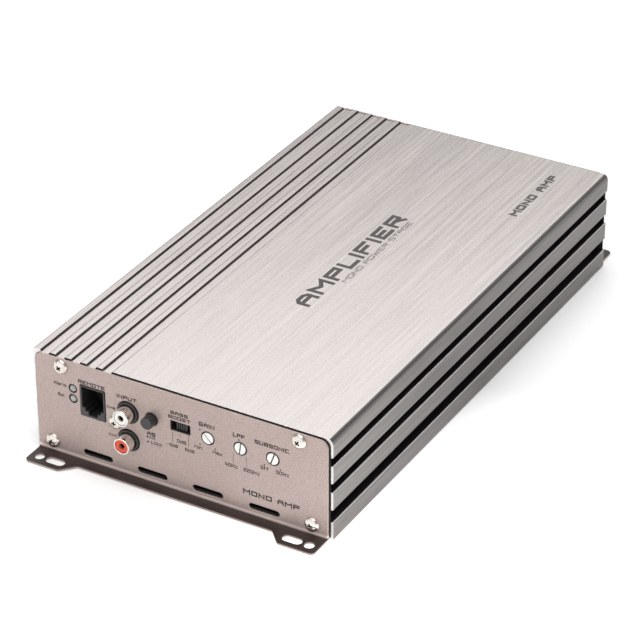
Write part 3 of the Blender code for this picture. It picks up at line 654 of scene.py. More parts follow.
def facing_front(front, x=0.0, z=0.0):
    """Places (u, v, height) on a plane at y = -front, with height towards -Y."""
    return lambda u, v, height: (x + u, -front - height, z + v)


def facing_rear(rear, x=0.0, z=0.0):
    return lambda u, v, height: (x - u, rear + height, z + v)


def facing_up(z=0.0, x=0.0, y=0.0):
    return lambda u, v, height: (x + u, y + v, z + height)


def facing_down(z=0.0, x=0.0, y=0.0):
    return lambda u, v, height: (x + u, y - v, z - height)


def moved(shape, place):
    for vertex in shape.verts:
        vertex.co = place(*vertex.co)
    bmesh.ops.recalc_face_normals(shape, faces=shape.faces)
    return shape


def on_panel(shape, x=0.0, z=0.0):
    """The shape on the front panel's face, with its height towards -Y."""
    return moved(shape, facing_front(PLATE_OUTER, x, z))


def solid(outlines, low, high, edge=0.2, steps=3, cuts=()):
    """A slab between two heights with rounded rims. Each outline after the first is a hole."""
    shape = bmesh.new()
    angles = [math.pi / 2 * step / steps for step in range(steps + 1)] if edge else [math.pi / 2]
    rim = [(edge * (1 - math.sin(a)), edge * (1 - math.cos(a))) for a in angles]
    profile = [(away, low + up) for away, up in rim]
    profile += [(away, high - up) for away, up in reversed(rim)]
    ends = ([], [])
    for index, outline in enumerate(outlines):
        if (area(outline) > 0) == bool(index):
            outline = outline[::-1]
        rings = []
        for away, height in profile:
            ring = inset(outline, away) if away else outline
            rings.append([shape.verts.new((u, v, height)) for u, v in ring])
        for lower, upper in zip(rings, rings[1:]):
            for i in range(len(lower)):
                shape.faces.new((lower[i - 1], lower[i], upper[i], upper[i - 1]))
        for end, ring in zip(ends, (rings[0], rings[-1])):
            end += [shape.edges.get((ring[i - 1], ring[i])) for i in range(len(ring))]
    for edges in ends:
        bmesh.ops.triangle_fill(shape, use_beauty=True, edges=edges)
    for height in cuts:
        everything = shape.verts[:] + shape.edges[:] + shape.faces[:]
        place = {"plane_co": (0, height, 0), "plane_no": (0, 1, 0)}
        bmesh.ops.bisect_plane(shape, geom=everything, dist=1e-5, **place)
    bmesh.ops.recalc_face_normals(shape, faces=shape.faces)
    return shape


def turned(profile, steps=48):
    """A turned solid about the height axis. The profile holds (radius, height) points."""
    shape = bmesh.new()
    rings = []
    for radius, height in profile:
        if radius < 1e-6:
            rings.append([shape.verts.new((0, 0, height))])
            continue
        rings.append([shape.verts.new((u, v, height)) for u, v in circle((0, 0), radius, steps)])
    pairs = list(zip(rings, rings[1:]))
    if profile[0][0] > 1e-6:
        pairs.append((rings[-1], rings[0]))
    for upper, lower in pairs:
        for i in range(steps):
            corners = []
            for ring, at in ((upper, i - 1), (upper, i), (lower, i), (lower, i - 1)):
                vertex = ring[at] if len(ring) > 1 else ring[0]
                if vertex not in corners:
                    corners.append(vertex)
            shape.faces.new(corners)
    bmesh.ops.recalc_face_normals(shape, faces=shape.faces)
    return shape


def rounded_off(shape, edges, width, steps, clamp=False):
    """The shape with these edges bevelled."""
    bmesh.ops.bevel(
        shape,
        geom=edges,
        offset=width,
        segments=steps,
        profile=0.5,
        affect="EDGES",
        clamp_overlap=clamp,
    )
    return shape


def block(x0, x1, y0, y1, z0, z1, edge=0.3):
    """A box with rounded edges."""
    shape = bmesh.new()
    bmesh.ops.create_cube(shape, size=1)
    size = (x1 - x0, y1 - y0, z1 - z0)
    middle = ((x0 + x1) / 2, (y0 + y1) / 2, (z0 + z1) / 2)
    bmesh.ops.scale(shape, vec=size, verts=shape.verts)
    bmesh.ops.translate(shape, vec=middle, verts=shape.verts)
    return rounded_off(shape, shape.edges[:], edge, 3) if edge else shape


def slab(x, half_width, y0, y1, z, half_height, edge=0):
    """A box given by its middle and half sizes across, and by its two ends along Y."""
    ends = (x - half_width, x + half_width, y0, y1, z - half_height, z + half_height)
    return block(*ends, edge)


def joined(*shapes):
    """One mesh that holds all these shapes."""
    whole = bmesh.new()
    for shape in shapes:
        part = bpy.data.meshes.new("part")
        shape.to_mesh(part)
        shape.free()
        whole.from_mesh(part)
        bpy.data.meshes.remove(part)
    return whole


def linked(name, data):
    """A new object in the scene that shows this data."""
    obj = bpy.data.objects.new(name, data)
    bpy.context.scene.collection.objects.link(obj)
    return obj


def temporary(shape, name):
    mesh = bpy.data.meshes.new(name)
    shape.to_mesh(mesh)
    shape.free()
    return linked(name, mesh)


def boolean(shape, others):
    """The shape with each of the others cut out of it, exactly."""
    body = temporary(shape, "boolean_body")
    tools = [temporary(other, "boolean_tool") for other in others]
    for tool in tools:
        modifier = body.modifiers.new("cut", "BOOLEAN")
        modifier.operation = "DIFFERENCE"
        modifier.solver = "EXACT"
        modifier.object = tool
    graph = bpy.context.evaluated_depsgraph_get()
    mesh = bpy.data.meshes.new_from_object(body.evaluated_get(graph))
    result = bmesh.new()
    result.from_mesh(mesh)
    for obj in (body, *tools):
        bpy.data.objects.remove(obj, do_unlink=True)
    bpy.data.meshes.remove(mesh)
    return result


def softened(shape, width, angle=40, steps=2):
    """Bevels the edges that turn by more than the angle."""
    flat = math.radians(1)
    bmesh.ops.dissolve_limit(shape, angle_limit=flat, verts=shape.verts[:], edges=shape.edges[:])
    limit = math.radians(angle)
    sharp = [e for e in shape.edges if len(e.link_faces) == 2 and e.calc_face_angle(0) > limit]
    return rounded_off(shape, sharp, width, steps, True)


def second_material(shape, belongs):
    """Gives the shape's second material to the faces that belong to it, by middle and normal."""
    shape.normal_update()
    for face in shape.faces:
        if belongs(face.calc_center_median(), face.normal):
            face.material_index = 1
    return shape


def spun(shape, degrees):
    """The shape turned about the height axis."""
    turn = Matrix.Rotation(math.radians(degrees), 3, "Z")
    bmesh.ops.rotate(shape, cent=(0, 0, 0), matrix=turn, verts=shape.verts)
    return shape


def add_grain_map(shape):
    """A UV map whose U runs along the brushing: along Y, or along X on faces that face Y."""
    layer = shape.loops.layers.uv.new("grain")
    for face in shape.faces:
        axis = max(range(3), key=lambda i: abs(face.normal[i]))
        first, second = ((1, 2), (0, 2), (1, 0))[axis]
        for loop in face.loops:
            loop[layer].uv = (loop.vert.co[first] / 100, loop.vert.co[second] / 100)


def piece(name, shape, material, body="chassis", slot=True, replaces=None, sharp=38, extra=()):
    """The shape as a shown object, in metres, that rides on a body. It may stand in for a CAD
    node. The slot argument is not used."""
    shape.normal_update()
    add_grain_map(shape)
    bmesh.ops.scale(shape, vec=(MM, MM, MM), verts=shape.verts)
    obj = temporary(shape, name)
    obj.data.shade_smooth()
    obj.data.set_sharp_from_angle(angle=math.radians(sharp))
    for key in (material, *extra):
        obj.data.materials.append(MATERIALS[key])
    weighted = obj.modifiers.new("weighted_normals", "WEIGHTED_NORMAL")
    weighted.keep_sharp = True
    weighted.weight = 80
    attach(obj, body)
    if replaces:
        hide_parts(replaces)
    return obj


# ---- Housing ----


def housing_corners():
    """The section of the extrusion as (x, z, radius) corners."""
    side = [(WALL_INSIDE, FOOT, 0.2), (HALF_WIDTH, FOOT, 0.4)]
    for low, high in FIN_GROOVES:
        side += [(HALF_WIDTH, low, 0.45), (GROOVE_FLOOR, low, 0.35)]
        side += [(GROOVE_FLOOR, high, 0.35), (HALF_WIDTH, high, 0.45)]
    roof = [(HALF_WIDTH, TOP, 2.8)]
    for foot in reversed(RIB_FEET):
        far = foot + RIB_VALLEY
        roof += [(far + RIB_SLOPES[1], TOP, 0.3), (far, RIB_LOW, 0.25)]
        roof += [(foot, RIB_LOW, 0.25), (foot - RIB_SLOPES[0], TOP, 0.3)]
    roof.append((-HALF_WIDTH, TOP, 1.0))
    (top_x, top_z), (foot_x, foot_z) = PLATE_SCREWS[1], PLATE_SCREWS[3]
    rise = math.degrees(math.asin((ROOF_UNDERSIDE - top_z) / TOP_BOSS))
    turn = math.degrees(math.acos((WALL_INSIDE - foot_x) / FOOT_BOSS))
    inner = arc((top_x, top_z), TOP_BOSS, 180 - rise, 245, 8)
    inner += arc((top_x, top_z), BOSS_BORE, 245, -65, 24)
    inner += arc((top_x, top_z), TOP_BOSS, 295, 360 + rise, 8)
    inner.append((WALL_INSIDE, ROOF_UNDERSIDE))
    inner += arc((foot_x, foot_z), FOOT_BOSS, turn, 155, 8)
    inner += arc((foot_x, foot_z), BOSS_BORE, 155, -155, 24)
    inner += arc((foot_x, foot_z), FOOT_BOSS, 205, 360 - turn, 8)
    inner = [(x, z, 0) for x, z in inner]
    return side + roof + mirrored(side) + mirrored(inner) + inner


def make_housing():
    outline = rounded(housing_corners(), 4)
    shape = solid([outline], -HALF_LENGTH, HALF_LENGTH, 0.15, 2)
    moved(shape, facing_front(0))
    shape.normal_update()
    for face in shape.faces:
        middle = face.calc_center_median()
        # Painted highlight: the fins' rounded upper edges take the bright sawn-end metal
        fin_edge_highlight = abs(middle.x) > 79.4 and face.normal.z > 0.25 and middle.z < 45
        if abs(face.normal.y) > 0.3 or fin_edge_highlight:
            face.material_index = 1
        # Painted shade in the grooves between the fins
        elif 74.8 < abs(middle.x) < HALF_WIDTH - 0.42 and 9.9 < middle.z < 45:
            face.material_index = 2
        # Painted shade on the fins' outer faces
        elif abs(face.normal.x) > 0.92 and abs(middle.x) > 79:
            face.material_index = 3
        # Painted shade on the ribs' walls that face +X
        elif face.normal.x > 0.5 and RIB_LOW < middle.z < TOP and middle.x < 0:
            face.material_index = 4
    # Slots after the first: sawn ends with a painted highlight on the fins' upper edges, then painted
    # shade in the grooves, on the fins' outer faces and on the ribs' +X walls
    finishes = ["housing_end_and_fin_highlight", "groove", "fin", "rib_wall"]
    piece("finned_housing", shape, "housing", replaces="heatsink_housing", extra=finishes)


def make_gap_shade_sheets():
    """A thin near-black sheet between the housing and each end plate, seen as a line round the plate:
    painted shade in the gap there.
    """
    edge = PLATE_HALF_WIDTH + 0.6
    top, valley = PLATE_TOP + 0.6, RIB_LOW - 0.15
    corners = [(edge, FOOT + 1.4, 0), (edge, top, 4.6)]
    for foot in reversed(RIB_FEET):
        corners += [(foot + RIB_VALLEY + 0.6, top, 0), (foot + RIB_VALLEY, valley, 0)]
        if foot != RIB_FEET[0]:
            corners += [(foot, valley, 0), (foot - 0.35, top, 0)]
    corners += [(-edge, valley, 3.6), (-edge, FOOT + 1.4, 0)]
    window = rectangle(-74.0, 74.0, 5.0, 46.0)
    for end, side in (("front", -1), ("rear", 1)):
        shape = solid([rounded(corners, 6), window], *GAP_SHADE_SHEET, 0)
        moved(shape, lambda u, v, height, side=side: (u, side * height, v))
        piece(f"{end}_gap_shade_sheet", shape, "recess_shade")


# ---- End plates ----


def bent(side):
    """Places a flat blank's (u, s, height) on the bent end plate. s is 0 where the bend starts."""

    def place(u, s, height):
        if s >= 0:
            out, z = PLATE_MIDDLE + height, VERTICAL_START + s
        elif s > -BEND_LENGTH:
            angle = -s / BEND_RADIUS
            reach = BEND_RADIUS - height
            out = FLANGE_START - reach * math.cos(angle)
            z = VERTICAL_START - reach * math.sin(angle)
        else:
            out, z = FLANGE_START - s - BEND_LENGTH, FLANGE_HEIGHT + height
        return (u, side * out, z)

    return place


def on_flange(out):
    """How far along the blank a point of the flange lies."""
    return FLANGE_START - out - BEND_LENGTH


def on_face(z):
    return z - VERTICAL_START


def end_plate(name, side, openings, node):
    shoulder, edge = on_flange(FLANGE_EDGE), on_flange(TAB_EDGE)
    right = [
        (TAB_SHOULDER, shoulder, 1.5),
        (TAB_INNER, edge, 1.6),
        (FLANGE_HALF_WIDTH, edge, 2.5),
        (FLANGE_HALF_WIDTH, -BEND_LENGTH, 0),
        (PLATE_HALF_WIDTH, 0, 0),
        (PLATE_HALF_WIDTH, on_face(PLATE_TOP), 4.0),
    ]
    outline = rounded(right + mirrored(right), 7)
    holes = [circle((x, on_face(z)), SCREW_HOLE, 32) for x, z in PLATE_SCREWS]
    holes += [slot((x, on_face(VENT_HEIGHT)), *VENT_HALF_SIZE) for x in VENTS]
    holes += [[(u, on_face(v)) for u, v in opening] for opening in openings]
    row = on_flange(TAB_ROW)
    for sign in (-1, 1):
        holes.append(circle((sign * TAB_HOLE_X, row), TAB_HOLE_RADIUS, 32))
        holes.append(slot((sign * TAB_SLOT_X, row), TAB_SLOT_HALF_LENGTH, TAB_HOLE_RADIUS))
    cuts = [-BEND_LENGTH * step / 8 for step in range(9)]
    shape = solid([outline, *holes], -SHEET / 2, SHEET / 2, 0.38, 4, cuts)
    piece(name, moved(shape, bent(side)), "plate", replaces=node)


def front_openings():
    left, right, low, high = SOCKET
    left, right, low, high = left - GAP, right + GAP, low - GAP, high + GAP
    socket = [(left, low, 0.3), (right, low, 0.3), (right, high, 0.9), (left, high, 0.9)]
    openings = [rounded(socket)]
    openings += [circle(centre, 2.3, 32) for centre in LEDS.values()]
    openings += [circle((RCA_X, z), 5.8, 48) for z in RCA_HEIGHTS.values()]
    openings.append(circle(RCA_SCREW, 2.0, 24))
    openings.append(circle(AS_BUTTON, 3.35, 40))
    openings.append(rectangle(*BASS_WINDOW, 0.5))
    openings += [circle((x, POT_HEIGHT), 3.5, 40) for x, _ in POTS.values()]
    return openings


def rear_openings():
    faces = [(*span, *TERMINAL_HEIGHTS) for span, _ in TERMINALS.values()]
    return [
        rectangle(left - GAP, right + GAP, low - GAP, high + GAP, 0.6)
        for left, right, low, high in (*faces, FUSE_HOLDER)
    ]


# ---- Screws ----


def cross_recess(reach, width, depth, top):
    """A tapered cross, standing from below the surface to above it."""
    outline = []
    half = width / 2
    for turn in range(4):
        angle = math.radians(90 * turn)
        cosine, sine = math.cos(angle), math.sin(angle)
        for u, v in ((half, half), (half, reach), (-half, reach)):
            outline.append((u * cosine - v * sine, u * sine + v * cosine))
    shape = bmesh.new()
    rings = []
    for height, scale in ((top - depth, 0.55), (top + 1.0, 1.18)):
        rings.append([shape.verts.new((u * scale, v * scale, height)) for u, v in outline])
    count = len(outline)
    for i in range(count):
        shape.faces.new((rings[0][i - 1], rings[0][i], rings[1][i], rings[1][i - 1]))
    shape.faces.new(rings[0])
    shape.faces.new(rings[1])
    bmesh.ops.recalc_face_normals(shape, faces=shape.faces)
    return shape


def screw_shape(head, height, shank, length):
    """A domed head with a cross recess, on a plain shank, from the head's seat at 0."""
    profile = [(0, height)]
    for step in range(1, 9):
        angle = math.radians(78 * step / 8)
        radius = head * 0.985 * math.sin(angle) / math.sin(math.radians(78))
        profile.append((radius, height * (0.24 + 0.76 * (math.cos(angle) - 0.208) / 0.792)))
    profile += [(head, height * 0.18), (head, 0.12), (head - 0.12, 0)]
    profile += [(shank, 0), (shank, 0.6 - length), (shank - 0.5, -length), (0, -length)]
    recess = cross_recess(head * 0.40, head * 0.24, height * 0.72, height)
    shape = softened(boolean(turned(profile, 40), [recess]), 0.06, 50, 1)

    # Painted shade: the faces in the recess take the darker recess metal
    def in_recess(middle, _):
        from_axis = math.hypot(middle.x, middle.y)
        dome = height * (1.0 - 0.76 * (from_axis / head) ** 2)
        return 0.2 < middle.z < dome - 0.12 * height and from_axis < head * 0.62

    return second_material(shape, in_recess)


def add_screw(name, node, size, place, degrees=0):
    shape = moved(spun(screw_shape(*size), degrees), place)
    piece(name, shape, "steel", replaces=node, extra=["recess"])


def make_screws():
    for end, facing in (("front", facing_front), ("rear", facing_rear)):
        for index, (x, z) in enumerate(PLATE_SCREWS, 1):
            node = f"{end}_plate_screw_{index}"
            place = facing(PLATE_OUTER, x, z)
            add_screw(f"{end}_screw_{index}", node, PLATE_SCREW_SIZE, place, 23 * index + 11)
    place = facing_front(PLATE_OUTER, *RCA_SCREW)
    add_screw("input_block_screw", "rca_block_screw", RCA_SCREW_SIZE, place)
    for index, (x, y) in enumerate(COVER_SCREWS, 1):
        node = f"bottom_cover_screw_{index}"
        add_screw(f"cover_screw_{index}", node, COVER_SCREW_SIZE, facing_down(COVER_SCREW_SEAT, x, y))


def make_cover():
    outline = rectangle(-71.7, 71.7, -142.9, 142.9, 1.0)
    holes = [circle(centre, 1.45, 24) for centre in COVER_SCREWS]
    shape = moved(solid([outline, *holes], 2.6, 3.9, 0.25, 2), facing_up())
    piece("base_cover", shape, "cover", replaces="bottom_cover")


# ---- Controls ----


def make_lamps():
    for name, (x, z) in LEDS.items():
        angles = [math.radians(90 * step / 8) for step in range(9)]
        profile = [(LAMP_RADIUS * math.sin(a), 1.5 * math.cos(a) - 0.95) for a in angles]
        profile += [(LAMP_RADIUS, -2.2), (2.5, -2.25), (2.5, -13.0), (0, -13.0)]
        shape = on_panel(turned(profile, 32), x, z)
        piece(f"{name}_lamp", shape, "lens", replaces=f"{name}_led")


def make_gap_shade_rings():
    """Dark rings that fill the gaps round the lamps, the button and the trimmers: painted shade in
    those gaps.
    """
    rings = [(centre, 1.88, 2.28) for centre in LEDS.values()]
    rings += [((x, POT_HEIGHT), 2.94, 3.48) for x, _ in POTS.values()]
    rings.append((AS_BUTTON, 3.09, 3.33))
    shapes = []
    for centre, inner, outer in rings:
        ring = solid([circle((0, 0), outer, 48), circle((0, 0), inner, 48)], -1.0, -0.12, 0.04, 1)
        shapes.append(on_panel(ring, *centre))
    piece("control_gap_shade_rings", joined(*shapes), "recess_shade")


def socket_mouth():
    half = []
    top = SOCKET_MOUTH_TOP
    for half_width, floor in SOCKET_STEPS:
        half += [(half_width, top, 0.25), (half_width, floor, 0.2)]
        top = floor
    half = [(SOCKET_X + u, v, radius) for u, v, radius in half[::-1]]
    other = [(2 * SOCKET_X - u, v, radius) for u, v, radius in reversed(half)]
    return rounded(half + other, 3)


def make_remote_jack():
    left, right, low, high = SOCKET
    outline = rounded([(left, low, 0.4), (right, low, 0.4), (right, high, 1.0), (left, high, 1.0)])
    mouth = socket_mouth()
    frame_shape = solid([outline, mouth], -12.0, 0.25, 0.22, 3)
    back = solid([outline], -14.2, -11.6, 0.2, 2)
    shape = on_panel(joined(frame_shape, back))
    piece("remote_jack", shape, "grey_plastic", replaces="remote_socket")
    # Painted shade: the mouth's walls and floor are near-black inside the jack
    wall = solid([shrunk(mouth, -0.02), shrunk(mouth, 0.12)], -11.5, -0.35, 0.03, 1)
    floor = solid([shrunk(mouth, 0.02)], -11.9, -11.3, 0.05, 1)
    piece("remote_jack_mouth_shade", on_panel(joined(wall, floor)), "recess_shade")
    bend = [(144.3, 41.25, 0.1), (143.6, 41.25, 0.3), (136.6, 37.4, 0.3)]
    bend += [(136.2, 37.9, 0.1), (143.4, 41.6, 0.3), (144.3, 41.6, 0.1)]
    contacts = []
    for index in range(6):
        x = SOCKET_X + (index - 2.5) * CONTACT_PITCH
        shape = solid([rounded(bend, 3)], -0.2, 0.2, 0.06, 1)
        contacts.append(moved(shape, lambda u, v, height, x=x: (x + height, -u, v)))
    # Painted shade: the contacts take the darker recess metal, deep in the mouth
    piece("remote_jack_contacts", joined(*contacts), "recess")


def make_inputs():
    body = block(-33.5, -21.0, -143.3, -130.6, 14.0, 42.0, 0.5)
    step = block(-38.5, -33.0, -143.3, -130.6, 24.0, 32.0, 0.4)
    piece("input_block", joined(body, step), "black_plastic", replaces="rca_block")
    collar = [(4.45, 0.62), (4.6, 0.8), *arc((5.05, 0.35), 0.45, 0, 90, 5)[::-1]]
    collar += [(5.5, -1.8), (4.45, -1.8)]
    shell = [(3.55, 6.58), *arc((3.92, 6.32), 0.28, 90, 0, 5)]
    shell += [(4.2, -8.8), (3.45, -8.8), (3.45, 6.42)]
    insulator = arc((1.85, 6.05), 0.25, 180, 90, 4) + arc((3.08, 6.0), 0.3, 90, 0, 4)
    insulator += [(3.38, -8.6), (1.6, -8.6)]
    contact = [(1.2, 5.5), (1.5, 5.7), (1.57, 5.7), (1.57, -8.0), (1.2, -8.0)]
    stop = [(0, -6.8), (1.1, -6.8), (1.1, -8.4), (0, -8.4)]
    for place, z in RCA_HEIGHTS.items():
        colour = {"upper": "white_plastic", "lower": "red_plastic"}[place]
        # Painted shade down in the hole: the contact takes the darker recess metal, with a near-black
        # disc below it
        parts = (
            ("collar", collar, 64, "black_plastic", None),
            ("shell", shell, 64, "nickel", f"rca_shell_{place}"),
            ("insulator", insulator, 64, colour, f"rca_insulator_{place}"),
            ("contact", contact, 32, "recess", None),
            ("hole_shade_disc", stop, 24, "recess_shade", None),
        )
        for part, profile, steps, material, node in parts:
            shape = on_panel(turned(profile, steps), RCA_X, z)
            piece(f"input_{part}_{place}", shape, material, replaces=node)


def make_as_button():
    rim = arc((BUTTON_RADIUS - 0.4, 4.4), 0.4, 90, 0, 6)
    profile = [(0, 4.62), (1.9, 4.62), (2.3, 4.66), (2.5, 4.8), *rim]
    profile += [(BUTTON_RADIUS, -2.8), (1.5, -2.8), (1.5, -10.4), (0, -10.4)]
    shape = on_panel(turned(profile, 56), *AS_BUTTON)
    second_material(shape, lambda middle, _: middle.y < -PLATE_OUTER - 4.55)
    piece("as_button_cap", shape, "button", "button", replaces="as_button", extra=["button_face"])


def make_bass_switch():
    left, right, low, high = BASS_WINDOW
    outline = rectangle(left - 3.2, right + 3.2, low - 2.5, high + 2.5, 0.5)
    hole = rectangle(left - 0.05, right + 0.05, low - 0.05, high + 0.05, 0.35)
    shell = solid([outline, hole], -7.7, -1.5, 0.15, 2)
    back = solid([outline], -14.2, -7.5, 0.15, 2)
    shape = on_panel(joined(shell, back))
    piece("bass_switch_frame", shape, "black_plastic", replaces="bass_switch_body")
    comb = []
    edge = SLIDER_WIDTH / 2
    pitch = SLIDER_WIDTH / 5
    for ridge in range(5):
        start = -edge + pitch * ridge
        comb += [(start + 0.10, -1.6, 0.12), (start + pitch - 0.36, -1.6, 0.12)]
        if ridge < 4:
            comb += [(start + pitch - 0.20, -2.35, 0.1), (start + pitch - 0.02, -2.35, 0.05)]
    comb += [(edge, -1.9, 0.1), (edge, -7.3, 0), (-edge, -7.3, 0), (-edge, -1.9, 0.1)]
    half = (high - low) / 2 - GAP
    shape = solid([rounded(comb, 2)], -half, half, 0.15, 2)
    x, z = (left + right) / 2, (low + high) / 2
    moved(shape, lambda u, v, height: (x + u, -PLATE_OUTER - v, z + height))
    node = "bass_switch_slider"
    piece("bass_slider_knob", shape, "button_face", "bass_slider", replaces=node)


def make_trimmers():
    for name, (x, angle) in POTS.items():
        edge = arc((TRIMMER_RADIUS - 0.25, -0.05), 0.25, 90, 0, 5)
        shape = turned([(0, 0.2), *edge, (TRIMMER_RADIUS, -9.0), (0, -9.0)], 56)
        groove = block(-0.36, 0.36, -4.0, 4.0, -0.9, 1.2, 0)
        shape = softened(boolean(shape, [groove]), 0.05, 50, 1)
        # Painted shade: the floor of the slot takes the near-black recess material
        second_material(shape, lambda middle, normal: normal.z > 0.5 and middle.z < -0.5)
        on_panel(spun(shape, -angle), x, POT_HEIGHT)
        rides = {"body": f"{name}_shaft", "replaces": f"{name}_pot_shaft"}
        piece(f"{name}_trimmer", shape, "white_plastic", extra=["recess_shade"], **rides)


# ---- Lettering ----


def ribbon(path, half):
    """The outline of an open path drawn with a stroke of this half width."""
    sides = ([], [])
    for index, point in enumerate(path):
        before = point - path[index - 1] if index else path[1] - point
        after = path[index + 1] - point if index + 1 < len(path) else before
        first = Vector((-before.y, before.x)).normalized()
        second = Vector((-after.y, after.x)).normalized()
        step = (first + second) * (half / max(0.45, 1 + first.dot(second)))
        along = Vector((0, 0))
        if index == 0:
            along = -before.normalized() * half
        elif index + 1 == len(path):
            along = after.normalized() * half
        for side, sign in zip(sides, (1, -1)):
            moved_point = point + step * sign + along
            side.append((moved_point.x, moved_point.y))
    return sides[0] + sides[1][::-1]


def drawn_text(text, left, right, low, high, stroke):
    """Text drawn as strokes that fill a box. Each item is a list of loops."""
    half = stroke / 2
    rise = high - low - stroke
    widths = [NARROW.get(letter, 1.0) for letter in text]
    gaps = LETTER_GAP * (len(text) - 1)
    unit = (right - left - stroke * len(text)) / (sum(widths) + gaps)
    shapes = []
    start = left + half
    for letter, width in zip(text, widths):
        for path in STROKES.get(letter, ()):
            places = [(int(digits[0]) / 4, int(digits[1]) / 4) for digits in path.split()]
            path = [Vector((start + unit * width * u, low + half + rise * v)) for u, v in places]
            if path[0] == path[-1]:
                ring = [tuple(point) for point in path[:-1]]
                shapes.append([shrunk(ring, -half), shrunk(ring, half)])
            else:
                shapes.append([ribbon(path, half)])
        start += unit * (width + LETTER_GAP) + stroke
    return shapes


def printed(strokes, place):
    """Thin solids for strokes of ink. Strokes that cross have their faces at different heights."""
    return [
        moved(solid(loops, INK_FOOT, INK_TOP + INK_STEP * (layer % 4), 0), place)
        for layer, loops in enumerate(strokes)
    ]


def make_panel_lettering():
    shapes = []
    for text, *box, low, high in PANEL_TEXT:
        stroke = (0.25 if text.isupper() else 0.2) * (high - low)
        strokes = drawn_text(text, *box, low, high, stroke)
        shapes += printed(strokes, facing_front(PLATE_OUTER))
    marks = []
    for start, end in PANEL_LINES:
        start, end = Vector(start), Vector(end)
        along = end - start
        across = Vector((along.y, -along.x)).normalized() * 0.11
        corners = (start + across, start - across, end - across, end + across)
        marks.append([(corner.x, corner.y) for corner in corners])
    marks += [circle(centre, 0.42, 16) for centre in PANEL_DOTS]
    marks.append(rectangle(-17.4, -16.4, 25.3, 26.3))
    marks.append([(-17.5, 22.75), (-16.0, 22.75), (-16.75, 24.0)])
    shapes += [on_panel(solid([mark], INK_FOOT, INK_TOP, 0)) for mark in marks]
    piece("panel_lettering", joined(*shapes), "ink", slot=False, sharp=30)


def make_top_lettering():
    shapes = []
    for text, foot, head, start, end, stroke in TOP_TEXT:
        strokes = drawn_text(text, start, end, 0, foot - head, stroke)
        shapes += printed(strokes, lambda u, v, height, foot=foot: (foot - v, u, TOP + height))
    piece("top_lettering", joined(*shapes), "top_ink", slot=False, sharp=30)


# ---- Connections on the rear ----


def clamp_screw():
    """A headless screw, seen from above, with turns of thread and a hexagon socket."""
    profile = [(0, 5.2), *arc((2.05, 4.95), 0.25, 90, 0, 4)]
    for step in range(6):
        base = 4.6 - 0.7 * step
        profile += [(2.3, base), (2.1, base - 0.35)]
    profile += [(2.1, 0.3), (1.8, 0), (0, 0)]
    hexagon = solid([circle((0, 0), 1.35, 6)], 2.6, 6.5, 0)
    return softened(boolean(turned(profile, 40), [hexagon]), 0.05, 50, 1)


def make_terminals():
    low, high = TERMINAL_HEIGHTS
    front, back = TERMINAL_DEPTHS
    floor = back - ENTRY_DEPTH
    middle, rise = (low + high) / 2, (high - low) / 2 + 1
    for name, ((left, right), poles) in TERMINALS.items():
        walls = [(a[0] + b[0]) / 2 for a, b in zip(sorted(poles), sorted(poles)[1:])]
        cutters = [slab(x, 0.6, back - 4.0, back + 1, middle, rise) for x in walls]
        for x, size in poles:
            half = size / 2 + 0.6
            cutters.append(slab(x, half, floor, back + 1, ENTRY_HEIGHT, half))
            hole = turned([(0, 20), (3.1, 20), (3.1, 0), (0, 0)], 40)
            cutters.append(moved(hole, facing_up(ENTRY_HEIGHT, x, CLAMP_SCREW_Y)))
        shape = softened(boolean(block(left, right, front, back, low, high, 0), cutters), 0.3)
        piece(f"{name}_terminals", shape, "black_plastic", replaces=f"{name}_terminal_block")
        for index, (x, size) in enumerate(poles, 1):
            half = size / 2
            rings = []
            for reach, radius in ((half + 0.5, 0.6), (half - 0.3, 0.8)):
                span = (x - reach, x + reach, ENTRY_HEIGHT - reach, ENTRY_HEIGHT + reach)
                rings.append(rectangle(*span, radius))
            barrel = solid(rings, -ENTRY_DEPTH + 0.1, -1.0, 0.15, 2)
            moved(barrel, lambda u, v, height: (u, back + height, v))
            stop = slab(x, half, floor + 0.05, floor + 0.8, ENTRY_HEIGHT, half, 0.1)
            piece(f"{name}_barrel_{index}", joined(barrel, stop), "brass")
            bottom = ENTRY_HEIGHT + half + 0.4
            shape = moved(clamp_screw(), facing_up(bottom, x, CLAMP_SCREW_Y))
            node = f"{name}_clamp_screw_{index}"
            piece(f"{name}_set_screw_{index}", shape, "steel", replaces=node)


def make_terminal_marks():
    """Polarity marks and function words over the terminals, printed on the rear plate."""
    shapes = []
    for text, left, right, low, high in TERMINAL_TEXT:
        strokes = drawn_text(text, -right, -left, low, high, 0.2 * (high - low))
        shapes += printed(strokes, facing_rear(PLATE_OUTER))
    piece("terminal_lettering", joined(*shapes), "ink", slot=False, sharp=30)


